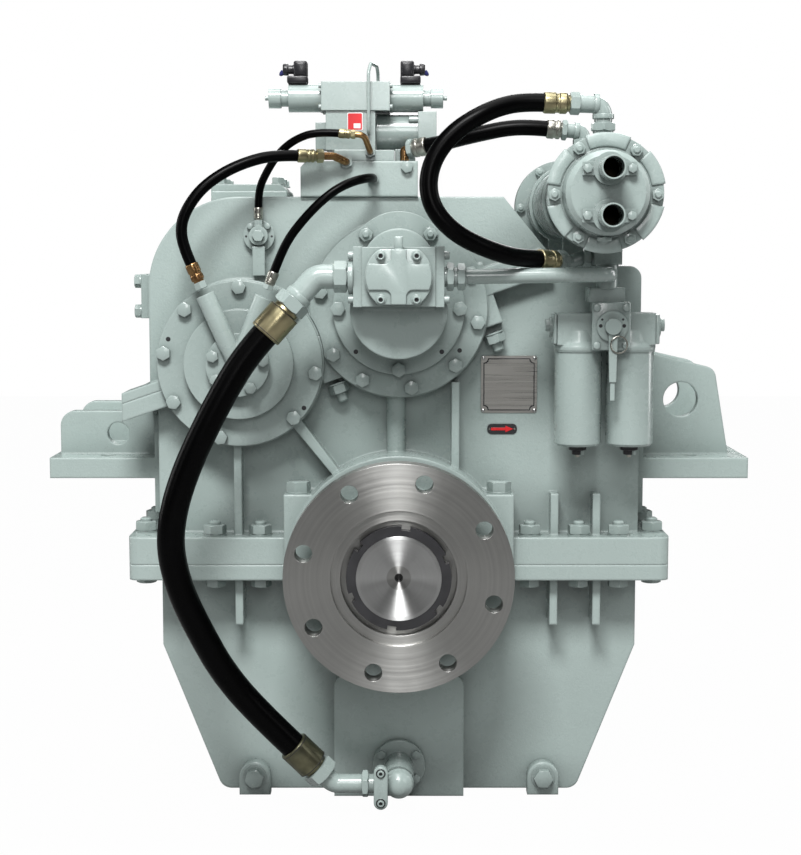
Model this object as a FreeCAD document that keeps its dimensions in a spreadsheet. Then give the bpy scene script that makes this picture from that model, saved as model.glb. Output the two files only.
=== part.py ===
"""Marine reduction gearbox with reversing clutches, oil pump, valve, cooler and duplex filter.

Frame: the origin is the centre of the output flange face, -Y points away from the gearbox
out of that face, +X is to the right of someone facing it, and +Z is up. Millimetres.
"""
import FreeCAD, Part
import math
import os
import Sketcher

V = FreeCAD.Vector

# Driving dimensions. Stations along the shafts are named "..._y", heights "..._z".
SIZES = {
    # shafts and gears
    "centre_drop": 460, "centre_upper": 300, "rear_y": 690, "coupling_y": 900,
    "fit": 0.05, "running_fit": 0.2, "seat_gap": 0.3, "backlash": 0.8,
    "output_module": 10, "output_teeth": 74, "pinion_teeth": 18,
    "drive_module": 7.5, "input_teeth": 42, "counter_teeth": 38,
    "step_module": 3, "step_teeth": 32, "pump_step_teeth": 20,
    "pump_module": 3.3333, "pump_teeth": 12,
    "output_gear_y": 250, "output_gear_width": 100, "pinion_width": 108,
    "output_shaft_radius": 80, "upper_shaft_radius": 45, "journal_radius": 50,
    "clutch_hub_radius": 72, "drum_outer_radius": 131, "drum_wall": 13, "drum_front_y": 378,
    "drum_depth": 127, "drive_gear_y": 440, "drive_gear_width": 55, "gear_room": 152, "disc_thickness": 4.6,
    "disc_pitch": 5, "disc_count": 6,
    # output flange
    "flange_radius": 200, "flange_thickness": 40, "flange_recess_radius": 118,
    "flange_recess_depth": 22, "flange_hub_radius": 105, "flange_hub_end_y": 92,
    "flange_pitch_radius": 170, "flange_hole_radius": 15.5, "flange_holes": 8,
    "nut_outer_radius": 91, "nut_inner_radius": 74, "nut_notch_width": 15.6, "nut_notch_depth": 7,
    # housing
    "wall": 14, "lower_front_y": 215, "upper_front_y": 195, "side_half": 438,
    "sump_break_z": -165, "sump_half": 330, "sump_z": -440, "floor_z": -446,
    "sump_lug_x": 270, "bump_half": 120, "bump_top_z": -215, "bump_front_y": 186,
    "joint_half": 487, "joint_front_y": 130, "joint_back_y": 730, "rear_boss_y": 735, "upper_lip": 50,
    "lower_lip": 28, "joint_corner_radius": 18, "output_boss_radius": 201,
    "output_boss_y": 100, "cap_block_half": 205, "cap_block_top_z": 130, "cap_block_y": 112,
    "top_left": 452, "top_z": 659, "top_corner_radius": 165, "top_right": 188,
    "incline_right": 274, "shoulder_z": 535, "incline_lip": 32, "incline_reach": 497, "incline_side_reach": 470,
    "input_boss_radius": 161, "counter_boss_radius": 150, "input_boss_y": 165,
    "counter_boss_y": 152, "output_bearing_radius": 120, "upper_bearing_radius": 95,
    "bearing_width": 40, "boss_wall": 28, "rib_thickness": 14,
    # covers
    "cover_thickness": 15, "bolt_radius": 7, "bolt_head_height": 9,
    "joint_bolt_radius": 11, "joint_bolt_head": 15,
    # pump
    "pump_z": 518, "pump_half": 62, "pump_half_height": 50, "pump_back_y": 40,
    "pump_front_y": -10, "pump_cover_radius": 57, "pump_cover_front_y": -28,
    "adapter_back_y": 150, "ring_radius": 117, "bowl_radius": 84, "lobe_radius": 82,
    # cooler
    "cooler_x": 341, "cooler_z": 656, "cooler_front_y": -56, "cooler_rear_y": 746,
    "cooler_radius": 72, "cooler_flange_radius": 96, "cooler_flange_thickness": 18,
    "port_tube_length": 49,
    # filter
    "filter_x": 362, "filter_y": 110, "bowl_spacing": 91, "filter_bowl_radius": 41.5,
    "filter_bowl_top_z": 388, "filter_bowl_height": 168, "filter_head_z": 424,
    # inspection openings, rear covers and pipes
    "inspection_z": 675, "inspection_left": 353, "inspection_right": 210, "inspection_y": 335,
    "inspection_length": 180, "side_pad": 18, "port_bore": 17,
    "suction_z": -385,
    # feet
    "foot_tip": 652, "foot_front_y": 262, "foot_length": 370, "foot_z": 140,
    "foot_thickness": 38, "gusset_thickness": 22, "foot_hole_radius": 14,
}


class Dim:
    """A length held twice: as a number, and as the formula that binds it to the sheet."""

    def __init__(self, value, text):
        self.value = float(value)
        self.text = text

    def __add__(self, other):
        other = dim(other)
        return Dim(self.value + other.value, f"({self.text} + {other.text})")

    def __sub__(self, other):
        other = dim(other)
        return Dim(self.value - other.value, f"({self.text} - {other.text})")

    def __mul__(self, other):
        other = dim(other)
        return Dim(self.value * other.value, f"({self.text} * {other.text})")

    def __truediv__(self, other):
        other = dim(other)
        return Dim(self.value / other.value, f"({self.text} / {other.text})")

    def __rtruediv__(self, other):
        return dim(other) / self

    def __radd__(self, other):
        return dim(other) + self

    def __rmul__(self, other):
        return dim(other) * self

    def __rsub__(self, other):
        return dim(other) - self

    def __neg__(self):
        return Dim(-self.value, f"(-1 * {self.text})")


def dim(x):
    return x if isinstance(x, Dim) else Dim(x, f"{float(x):.6f}")


def num(x):
    return dim(x).value


def root_of(x):
    return Dim(math.sqrt(x.value), f"sqrt({x.text})")


doc = FreeCAD.newDocument("gearbox")
sheet = doc.addObject("Spreadsheet::Sheet", "Sizes")


class Sizes:
    pass


S = Sizes()
for row, (word, size) in enumerate(SIZES.items(), start=1):
    sheet.set(f"A{row}", word)
    sheet.set(f"B{row}", str(size))
    sheet.setAlias(f"B{row}", word)
    setattr(S, word, Dim(size, f"Sizes.{word}"))
doc.recompute()

# Shaft positions in the XZ plane, from the two centre distances.
half_ratio = S.centre_upper / (S.centre_drop * 2)
OUTPUT = (dim(0), dim(0))
INPUT = (dim(0), S.centre_drop)
COUNTER = (-(S.centre_drop * 2 * half_ratio * root_of(1 - half_ratio * half_ratio)),
           S.centre_drop * (1 - half_ratio * half_ratio * 2))
INCLINE = (S.centre_drop - COUNTER[1]) / (-COUNTER[0])


def incline_z(x):
    """Height of the inclined joint plane, which holds both upper shafts, at a given X."""
    return S.centre_drop + INCLINE * x


TURN = {
    "+Z": FreeCAD.Rotation(),
    "-Z": FreeCAD.Rotation(V(1, 0, 0), 180),
    "-Y": FreeCAD.Rotation(V(1, 0, 0), 90),
    "+Y": FreeCAD.Rotation(V(1, 0, 0), -90),
    "+X": FreeCAD.Rotation(V(0, 1, 0), 90),
    "-X": FreeCAD.Rotation(V(0, 1, 0), -90),
}
names = {}


def fresh(word):
    """A document name not used before."""
    names[word] = names.get(word, 0) + 1
    return f"{word}_{names[word]}"


def bind(obj, prop, size):
    if isinstance(size, Dim):
        obj.setExpression(prop, size.text)
    else:
        setattr(obj, prop, size)


def place(obj, x=0, y=0, z=0, turn=None):
    """Puts an object at a bound position, turned by a fixed rotation."""
    if turn is not None:
        obj.Placement = FreeCAD.Placement(V(), TURN.get(turn, turn) if isinstance(turn, str) else turn)
    for axis, size in zip("xyz", (x, y, z)):
        obj.setExpression(f"Placement.Base.{axis}", dim(size).text)
    return obj


def box(x, y, z):
    """A block between bound limits, each given as (low, high)."""
    obj = doc.addObject("Part::Box", fresh("block"))
    for prop, (low, high) in zip(("Length", "Width", "Height"), (x, y, z)):
        obj.setExpression(prop, (dim(high) - low).text)
    return place(obj, x[0], y[0], z[0])


def cylinder(radius, length, x, y, z, turn="+Z"):
    obj = doc.addObject("Part::Cylinder", fresh("rod"))
    obj.setExpression("Radius", dim(radius).text)
    obj.setExpression("Height", dim(length).text)
    return place(obj, x, y, z, turn)


def hexagon(radius, length, x, y, z, turn="+Z"):
    obj = doc.addObject("Part::Prism", fresh("hex"))
    obj.Polygon = 6
    obj.setExpression("Circumradius", dim(radius).text)
    obj.setExpression("Height", dim(length).text)
    return place(obj, x, y, z, turn)


def fuse(objects, label=None):
    obj = doc.addObject("Part::MultiFuse", fresh("union"))
    obj.Shapes = objects
    return named(obj, label)


def group(objects, label=None):
    """Separate solids that share one node."""
    obj = doc.addObject("Part::Compound", fresh("set"))
    obj.Links = objects
    return named(obj, label)


def cut(base, tool, label=None):
    if isinstance(tool, list):
        tool = tool[0] if len(tool) == 1 else fuse(tool)
    obj = doc.addObject("Part::Cut", fresh("cut"))
    obj.Base, obj.Tool = base, tool
    return named(obj, label)


def common(base, tool, label=None):
    obj = doc.addObject("Part::Common", fresh("common"))
    obj.Base, obj.Tool = base, tool
    return named(obj, label)


nodes = []


def named(obj, label):
    if label:
        obj.Label = label
        nodes.append(obj)
    return obj


def new_body(label=None):
    return named(doc.addObject("PartDesign::Body", fresh("body")), label)


def sketch_on(body, role, offset=None):
    """An empty sketch on one of the body's own planes, moved along the plane's normal."""
    sk = body.newObject("Sketcher::SketchObject", fresh("sketch"))
    plane = [f for f in body.Origin.OriginFeatures if f.Role == role][0]
    sk.AttachmentSupport = (plane, [""])
    sk.MapMode = "FlatFace"
    if offset is not None:
        sk.setExpression("AttachmentOffset.Base.z", dim(offset).text)
    return sk


def pin(sk, geometry, point, position):
    """Fixes one point of the sketch at a bound position."""
    for kind, size in zip(("DistanceX", "DistanceY"), position):
        index = sk.addConstraint(Sketcher.Constraint(kind, -1, 1, geometry, point, num(size)))
        sk.setExpression(f"Constraints[{index}]", dim(size).text)


def add_outline(sk, points):
    """A closed outline of straight lines through bound points."""
    first = sk.GeometryCount
    corners = [V(num(a), num(b), 0) for a, b in points]
    count = len(points)
    for i in range(count):
        sk.addGeometry(Part.LineSegment(corners[i], corners[(i + 1) % count]))
    for i in range(count):
        following = first + (i + 1) % count
        sk.addConstraint(Sketcher.Constraint("Coincident", first + i, 2, following, 1))
    for i, point in enumerate(points):
        pin(sk, first + i, 1, point)


def add_circle(sk, x, z, radius):
    index = sk.addGeometry(Part.Circle(V(num(x), num(z), 0), V(0, 0, 1), num(radius)))
    pin(sk, index, 3, (x, z))
    limit = sk.addConstraint(Sketcher.Constraint("Radius", index, num(radius)))
    sk.setExpression(f"Constraints[{limit}]", dim(radius).text)


def pad(body, sk, length, back=True):
    feature = body.newObject("PartDesign::Pad", fresh("pad"))
    feature.Profile = (sk, [""])
    feature.Reversed = back
    bind(feature, "Length", length)
    return feature


def slab(body, points, y_from, y_to):
    """Pads an XZ outline from one station to another."""
    sk = sketch_on(body, "XZ_Plane", -dim(y_from))
    add_outline(sk, points)
    return pad(body, sk, dim(y_to) - y_from)


def disc(body, x, z, radius, y_from, y_to):
    sk = sketch_on(body, "XZ_Plane", -dim(y_from))
    add_circle(sk, x, z, radius)
    return pad(body, sk, dim(y_to) - y_from)


def pierce(body, circles, y_from, y_to):
    """Cuts round holes (x, z, radius) between two stations."""
    sk = sketch_on(body, "XZ_Plane", -dim(y_from))
    for x, z, radius in circles:
        add_circle(sk, x, z, radius)
    feature = body.newObject("PartDesign::Pocket", fresh("pocket"))
    feature.Profile = (sk, [""])
    bind(feature, "Length", dim(y_to) - y_from)
    return feature


def round_corners(body, feature, corners, radius):
    """Rounds the feature's edges that run along Y through the given (x, z) corners."""
    doc.recompute()
    picked = []
    for index, edge in enumerate(feature.Shape.Edges, start=1):
        ends = [v.Point for v in edge.Vertexes]
        if len(ends) < 2 or abs(ends[0].y - ends[1].y) < 1:
            continue
        for x, z in corners:
            if all(abs(p.x - num(x)) < 0.05 and abs(p.z - num(z)) < 0.05 for p in ends):
                picked.append(f"Edge{index}")
    fillet = body.newObject("PartDesign::Fillet", fresh("fillet"))
    fillet.Base = (feature, picked)
    bind(fillet, "Radius", radius)
    return fillet


def turned(profile, axis="Y", x=0, y=0, z=0, label=None):
    """A lathe-turned piece: profile of (station, radius) points about an axis through x, y, z."""
    body = new_body(label)
    if axis == "X":
        sk, line = sketch_on(body, "XY_Plane"), "H_Axis"
        add_outline(sk, [(station, radius) for station, radius in profile])
    else:
        sk, line = sketch_on(body, "XY_Plane" if axis == "Y" else "XZ_Plane"), "V_Axis"
        add_outline(sk, [(radius, station) for station, radius in profile])
    feature = body.newObject("PartDesign::Revolution", fresh("turn"))
    feature.Profile = (sk, [""])
    feature.ReferenceAxis = (sk, [line])
    feature.Angle = 360
    place(body, x, y, z)
    return body


def stepped(steps, bore=0):
    """Profile of a stepped shaft or ring: steps of (from, to, radius) in order, with one bore."""
    points = [(steps[0][0], bore)]
    for low, high, radius in steps:
        points += [(low, radius), (high, radius)]
    points.append((steps[-1][1], bore))
    return points


def around(count, radius, start=0.0):
    """Bound (x, z) offsets of points evenly spaced on a circle."""
    spots = []
    for k in range(count):
        angle = math.radians(start + 360 * k / count)
        spots.append((radius * math.cos(angle), radius * math.sin(angle)))
    return spots


def at_angles(angles, radius):
    return [(radius * math.cos(math.radians(a)), radius * math.sin(math.radians(a))) for a in angles]


def hex_bolt(radius, head, grip):
    """Hexagon bolt with a washer face, head up from z = 0 and the shank down to -grip."""
    flange = cylinder(radius * 1.95, head * 0.2, 0, 0, 0)
    top = hexagon(radius * 1.75, head, 0, 0, head * 0.2)
    shank = cylinder(radius, grip, 0, 0, -grip)
    return fuse([flange, top, shank])


def socket_screw(radius, grip):
    head = cut(cylinder(radius * 1.5, radius * 2, 0, 0, 0),
               hexagon(radius * 0.9, radius * 1.2, 0, 0, radius))
    return fuse([head, cylinder(radius, grip, 0, 0, -grip)])


def copy_at(source, x, y, z, turn):
    link = doc.addObject("App::Link", fresh("copy"))
    link.LinkedObject = source
    return place(link, x, y, z, turn)


def gear(module, teeth, bore, y_from, width, phase=0.0, addendum=1.0, label=None, x=0, z=0):
    """Spur gear about Y. Each flank is one arc through three points of the true involute."""
    m, count, hole = num(module), int(num(teeth)), num(bore)
    pitch = m * count / 2
    base = pitch * math.cos(math.radians(20))
    tip = pitch + m * addendum
    foot = pitch - 1.25 * m
    flank_foot = max(base * 1.002, foot + 0.05 * m)

    def involute(radius):
        pressure = math.acos(base / radius)
        return math.tan(pressure) - pressure

    half_tooth = math.pi / (2 * count) - num(S.backlash) / 2 / (2 * pitch)

    def spot(radius, angle):
        return V(radius * math.cos(angle), 0, radius * math.sin(angle))

    def flank_angle(radius):
        return half_tooth + involute(pitch) - involute(radius)

    edges = []
    middle = (flank_foot + tip) / 2
    for k in range(count):
        centre = phase + 2 * math.pi * k / count
        following = centre + 2 * math.pi / count
        low, mid, high = flank_angle(flank_foot), flank_angle(middle), flank_angle(tip)
        edges.append(Part.makeLine(spot(foot, centre - low), spot(flank_foot, centre - low)))
        edges.append(Part.Arc(spot(flank_foot, centre - low), spot(middle, centre - mid),
                              spot(tip, centre - high)).toShape())
        edges.append(Part.makeLine(spot(tip, centre - high), spot(tip, centre + high)))
        edges.append(Part.Arc(spot(tip, centre + high), spot(middle, centre + mid),
                              spot(flank_foot, centre + low)).toShape())
        edges.append(Part.makeLine(spot(flank_foot, centre + low), spot(foot, centre + low)))
        edges.append(Part.makeLine(spot(foot, centre + low), spot(foot, following - low)))
    outline = Part.Wire(edges)
    face = Part.Face(outline)
    solid = face.extrude(V(0, num(width), 0))
    if hole > 0:
        solid = solid.cut(Part.makeCylinder(hole, num(width), V(), V(0, 1, 0)))
    obj = doc.addObject("Part::Feature", fresh("gear"))
    obj.Shape = solid
    place(obj, x, y_from, z)
    return named(obj, label)


def mate_phase(phase, teeth, mate_teeth, direction):
    """Phase of a gear that meshes with another one lying in the given direction from it."""
    pitch_angle = 2 * math.pi / teeth
    offset = (direction - phase) / pitch_angle
    offset -= round(offset)
    return direction + math.pi + (offset + 0.5) * 2 * math.pi / mate_teeth


# Housing: one casting outline, hollowed, bored, then split at the two joint planes

def lower_outline(inset):
    side, floor = S.side_half - inset, S.sump_z + inset
    low = S.sump_half - inset
    return [(-side, 0), (-side, S.sump_break_z), (-low, floor), (low, floor),
            (side, S.sump_break_z), (side, 0)]


def upper_outline(inset):
    side, left = S.side_half - inset, S.top_left - inset
    top, shoulder = S.top_z - inset, S.shoulder_z - inset
    right, slope = S.top_right - inset, S.incline_right - inset
    return [(-side, 0), (-side, incline_z(-side)), (-left, incline_z(-left)), (-left, top),
            (right, top), (slope, incline_z(slope)), (slope + 25, shoulder),
            (side, shoulder), (side, 0)]


def rib(body, x, z_low, z_high, y_from, y_to, thickness):
    half = dim(thickness) / 2
    return slab(body, [(x - half, z_low), (x - half, z_high), (x + half, z_high), (x + half, z_low)],
                y_from, y_to)


def incline_lug(body, foot_x, half, above, below):
    """A bolt lug that crosses the inclined joint square to it, from a foot point on the joint."""
    run = 1 / root_of(INCLINE * INCLINE + 1)
    rise = INCLINE * run
    foot_z = incline_z(foot_x)
    corners = []
    for across, down in ((-half, -above), (half, -above), (half, below), (-half, below)):
        corners.append((foot_x + run * across + rise * down, foot_z + rise * across - run * down))
    slab(body, corners, S.input_boss_y + 1, S.upper_front_y + 5)


def housing_outside():
    body = new_body()
    lower = slab(body, lower_outline(dim(0)), S.lower_front_y, S.rear_y)
    round_corners(body, lower, [(-S.sump_half, S.sump_z), (S.sump_half, S.sump_z)], 24)
    bump = slab(body, [(-S.bump_half, S.floor_z), (-S.bump_half, S.bump_top_z),
                       (S.bump_half, S.bump_top_z), (S.bump_half, S.floor_z)],
                S.bump_front_y, S.rear_y - 60)
    round_corners(body, bump, [(-S.bump_half, S.bump_top_z), (S.bump_half, S.bump_top_z)], 25)
    upper = slab(body, upper_outline(dim(0)), S.upper_front_y, S.rear_y)
    round_corners(body, upper, [(-S.top_left, S.top_z)], S.top_corner_radius)
    doc.recompute()
    round_corners(body, body.Tip, [(S.side_half, S.shoulder_z)], 22)
    disc(body, 0, 0, S.output_boss_radius, S.output_boss_y, S.lower_front_y + 5)
    slab(body, [(-S.cap_block_half, 0), (-S.cap_block_half, S.cap_block_top_z),
                (S.cap_block_half, S.cap_block_top_z), (S.cap_block_half, 0)],
         S.cap_block_y, S.upper_front_y + 5)
    disc(body, INPUT[0], INPUT[1], S.input_boss_radius, S.input_boss_y, S.upper_front_y + 5)
    disc(body, COUNTER[0], COUNTER[1], S.counter_boss_radius, S.counter_boss_y, S.upper_front_y + 5)
    # ribs between the bosses and the joint flange
    front = S.upper_front_y - 45
    column = sketch_on(body, "XY_Plane", S.output_boss_radius - 15)
    add_circle(column, -5, S.input_boss_y + 18, dim(17))
    pad(body, column, S.centre_drop - 140 - (S.output_boss_radius - 15), back=False)
    for x, top in ((-291, 215), (102, 328), (282, 125), (358, 125)):
        rib(body, dim(x), S.upper_lip - 5, top, front + 10, S.upper_front_y + 5, S.rib_thickness)
    for x in (-290, 281, 359):
        rib(body, dim(x), -115, -(S.lower_lip - 5), S.lower_front_y - 60, S.lower_front_y + 5,
            S.rib_thickness)
    half = S.rib_thickness / 2
    slab(body, [(-190 - half, 255), (-178, 262), (-95, 150), (-112, 150)],
         front + 10, S.upper_front_y + 5)
    # raised frame of the top inspection opening and pad of the side opening
    slab(body, [(-S.inspection_left, S.top_z - 50), (-S.inspection_left, S.inspection_z),
                (-S.inspection_right, S.inspection_z), (-S.inspection_right, S.top_z - 50)],
         S.inspection_y, S.inspection_y + S.inspection_length)
    reach = S.top_left + S.side_pad
    slab(body, [(-reach, 437), (-reach, 519), (-(S.top_left - 5), 519), (-(S.top_left - 5), 437)],
         300, 420)
    # corner lugs under the sump
    for side in (-1, 1):
        disc(body, side * S.sump_lug_x, S.floor_z + 24, 24, S.bump_front_y + 10, S.lower_front_y + 60)
    # inclined joint lips
    reach, lip = S.incline_reach, S.incline_lip
    inner = S.side_half - 30
    for outer, y_from, y_to in ((reach, S.counter_boss_y, S.foot_front_y - 12),
                                (S.incline_side_reach, S.foot_front_y - 12, S.rear_y)):
        slab(body, [(-outer, incline_z(-outer) - lip), (-outer, incline_z(-outer) + lip * 0.6),
                    (-inner, incline_z(-inner) + lip * 0.6), (-inner, incline_z(-inner) - lip)],
             y_from, y_to)
    for foot_x in (-141, 138):
        incline_lug(body, dim(foot_x), 22, 28, 84)
    disc(body, 0, 0, S.output_bearing_radius + S.boss_wall, S.rear_y - 5, S.rear_boss_y)
    start = dim(150)
    stop = S.incline_right + 2
    slab(body, [(start, incline_z(start) - lip), (start, incline_z(start) + lip * 0.6),
                (stop - 22, incline_z(stop - 22) + lip * 0.6), (stop, incline_z(stop) - lip)],
         S.input_boss_y, S.rear_y)
    flange = new_plate_flange(body)
    return body, flange


def new_plate_flange(body):
    """The horizontal joint flange, rounded at its four corners in plan."""
    sk = sketch_on(body, "XY_Plane", -S.lower_lip)
    half = S.joint_half
    add_outline(sk, [(-half, S.joint_front_y), (half, S.joint_front_y),
                     (half, S.joint_back_y), (-half, S.joint_back_y)])
    feature = pad(body, sk, S.upper_lip + S.lower_lip, back=False)
    doc.recompute()
    picked = []
    corners = [(sx * half.value, y.value) for sx in (-1, 1) for y in (S.joint_front_y, S.joint_back_y)]
    for index, edge in enumerate(feature.Shape.Edges, start=1):
        ends = [v.Point for v in edge.Vertexes]
        for x, y in corners:
            if len(ends) == 2 and all(abs(p.x - x) < 0.05 and abs(p.y - y) < 0.05 for p in ends):
                picked.append(f"Edge{index}")
    fillet = body.newObject("PartDesign::Fillet", fresh("fillet"))
    fillet.Base = (feature, picked)
    bind(fillet, "Radius", S.joint_corner_radius)
    return fillet


def housing_core():
    body = new_body()
    lower = lower_outline(S.wall)
    slab(body, lower, S.lower_front_y + S.wall, S.rear_y - S.wall)
    upper = slab(body, upper_outline(S.wall), S.upper_front_y + S.wall, S.rear_y - S.wall)
    round_corners(body, upper, [(-(S.top_left - S.wall), S.top_z - S.wall)],
                  S.top_corner_radius - S.wall)
    return body


def rear_bosses():
    body = new_body()
    inner = S.rear_y - S.bearing_width - 6
    disc(body, 0, 0, S.output_bearing_radius + S.boss_wall, inner, S.rear_y - 1)
    disc(body, INPUT[0], INPUT[1], S.upper_bearing_radius + S.boss_wall, inner, S.rear_y - 1)
    disc(body, COUNTER[0], COUNTER[1], S.upper_bearing_radius + S.boss_wall, inner, S.rear_y - 1)
    return body


def bores():
    long = S.rear_boss_y + 20
    output = cylinder(S.output_bearing_radius, long, 0, S.output_boss_y - 10, 0, "+Y")
    upper = [cylinder(S.upper_bearing_radius, long, x, S.counter_boss_y - 10, z, "+Y")
             for x, z in (INPUT, COUNTER)]
    return fuse([output] + upper)


JOINT_FRONT_X = (-333, -251, 237, 326, 398)
JOINT_SIDE_Y = (200, 330, 460, 590)
JOINT_REAR_X = (-380, -230, 230, 380)


def joint_bolt_spots():
    """Plan positions of the horizontal joint bolts: front row, both sides and rear row."""
    spots = [(dim(x), S.joint_front_y + 30) for x in JOINT_FRONT_X]
    for side in (-1, 1):
        spots += [(side * (S.joint_half - 23), dim(y)) for y in JOINT_SIDE_Y]
    spots += [(dim(x), S.joint_back_y - 17) for x in JOINT_REAR_X]
    return spots


def make_housing():
    outside, _ = housing_outside()
    shell = cut(outside, housing_core())
    solid = fuse([shell, rear_bosses()])
    window = box((-(S.inspection_left - 22), -(S.inspection_right + 22)),
                 (S.inspection_y + 18, S.inspection_y + S.inspection_length - 18),
                 (S.top_z - 60, S.inspection_z + 10))
    holes = [cylinder(S.joint_bolt_radius + S.seat_gap, S.upper_lip + S.lower_lip + 20,
                      x, y, -(S.lower_lip + 10)) for x, y in joint_bolt_spots()]
    for side in (-1, 1):
        x, y = side * (S.cap_block_half - 25), S.cap_block_y + 30
        holes.append(cylinder(S.joint_bolt_radius * 1.1 + S.seat_gap, 70, x, y, S.cap_block_top_z - 62))
        # spot face that clears the bearing boss
        holes.append(cylinder(S.joint_bolt_radius * 2.3, 60, x, y, S.cap_block_top_z))
    gear_room = cylinder(S.gear_room, S.drive_gear_width + 8, COUNTER[0], S.drive_gear_y - 4, COUNTER[1],
                         "+Y")
    bored = cut(solid, [bores(), window, gear_room] + holes)
    wide = 2000
    below = box((-wide / 2, wide / 2), (0, wide), (-wide / 2, 0))
    lower = common(bored, below, "lower_casing")
    above = cut(bored, below)
    tilt = -math.degrees(math.atan(INCLINE.value))
    wedge = doc.addObject("Part::Box", fresh("block"))
    wedge.Length, wedge.Width, wedge.Height = wide, wide, wide
    turn = FreeCAD.Rotation(V(0, 1, 0), tilt)
    start = turn.multVec(V(-wide / 2, 0, 0))
    place(wedge, start.x, 0, S.centre_drop + start.z, turn)
    top = common(above, wedge, "top_casing")
    middle = cut(above, wedge, "middle_casing")
    return lower, middle, top


def make_joint_bolts():
    radius, head = S.joint_bolt_radius, S.joint_bolt_head
    bolt = hex_bolt(radius, head, S.upper_lip + S.lower_lip + head * 1.6)
    nut = hexagon(radius * 1.75, head, 0, 0, 0)
    pieces = []
    for x, y in joint_bolt_spots():
        pieces.append(copy_at(bolt, x, y, S.upper_lip, "+Z"))
        collar = cut(copy_at(nut, x, y, -(S.lower_lip + head), "+Z"),
                     cylinder(radius + S.fit, head + 2, x, y, -(S.lower_lip + head + 1)))
        pieces.append(collar)
    cap = hex_bolt(radius * 1.1, head * 1.3, 60)
    caps = []
    for side in (-1, 1):
        caps.append(copy_at(cap, side * (S.cap_block_half - 25), S.cap_block_y + 30,
                            S.cap_block_top_z, "+Z"))
    return pieces, caps


def make_feet():
    tip, front, length = S.foot_tip, S.foot_front_y, S.foot_length
    low, thick = S.foot_z, S.foot_thickness
    feet = []
    for side, label in ((-1, "left_mounting_bracket"), (1, "right_mounting_bracket")):
        wall = S.side_half + 18

        def span(a, b):
            return (side * dim(a), side * dim(b)) if side > 0 else (side * dim(b), side * dim(a))

        plate = box(span(S.side_half, wall), (front, front + length), (S.upper_lip + 25, 260 if side < 0 else 400))
        base = new_body()
        sk = sketch_on(base, "XY_Plane", low)
        x0, x1 = span(S.side_half, tip)
        add_outline(sk, [(x0, front), (x1, front), (x1, front + length), (x0, front + length)])
        base_pad = pad(base, sk, thick, back=False)
        for x in (550,):
            for y in (front + 45, front + length / 2, front + length - 45):
                hole = sketch_on(base, "XY_Plane", low)
                add_circle(hole, side * dim(x), y, S.foot_hole_radius)
                drill = base.newObject("PartDesign::Pocket", fresh("pocket"))
                drill.Profile = (hole, [""])
                drill.Reversed = True
                bind(drill, "Length", thick)
        webs = []
        top = low + thick
        for y in (front + 68, front + length - 90):
            web = new_body()
            if side < 0:
                outline = [(-wall, top), (-wall, 260), (-(tip - 8), 260), (-(tip - 8), top)]
                corner, round_r, hole_x, hole_z, hole_r = (-(tip - 8), 260), 28, -534.6, 217, 21
            else:
                outline = [(wall, top), (wall, 374), (599, 341), (tip - 25, top)]
                corner, round_r, hole_x, hole_z, hole_r = (599, 341), 22, 535.4, 282, 33
            plate_pad = slab(web, outline, y, y + S.gusset_thickness)
            round_corners(web, plate_pad, [corner], round_r)
            pierce(web, [(hole_x, hole_z, hole_r)], y, y + S.gusset_thickness)
            webs.append(web)
        feet.append(fuse([plate, base] + webs, label))
    return feet


housing = make_housing()
joint_pieces, cap_pieces = make_joint_bolts()
group(joint_pieces + cap_pieces, "casing_joint_bolts")
feet = make_feet()


# Shafts, gears, clutches and bearings

def bearing_rings():
    """One plain ring for each roller bearing, seated in its bore and clear of its shaft."""
    rings = []
    clearance = S.fit
    width = S.bearing_width
    rear = S.rear_y - S.bearing_width
    for centre, shaft, bore, front in (
            (OUTPUT, S.output_shaft_radius, S.output_bearing_radius, S.output_boss_y + 12),
            (INPUT, S.journal_radius, S.upper_bearing_radius, S.input_boss_y + 4),
            (COUNTER, S.journal_radius, S.upper_bearing_radius, S.input_boss_y + 4)):
        for station in (front, rear):
            ring = stepped([(station, station + width, bore - clearance)], shaft + clearance)
            rings.append(turned(ring, "Y", centre[0], 0, centre[1]))
    return group(rings, "shaft_bearings")


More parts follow.
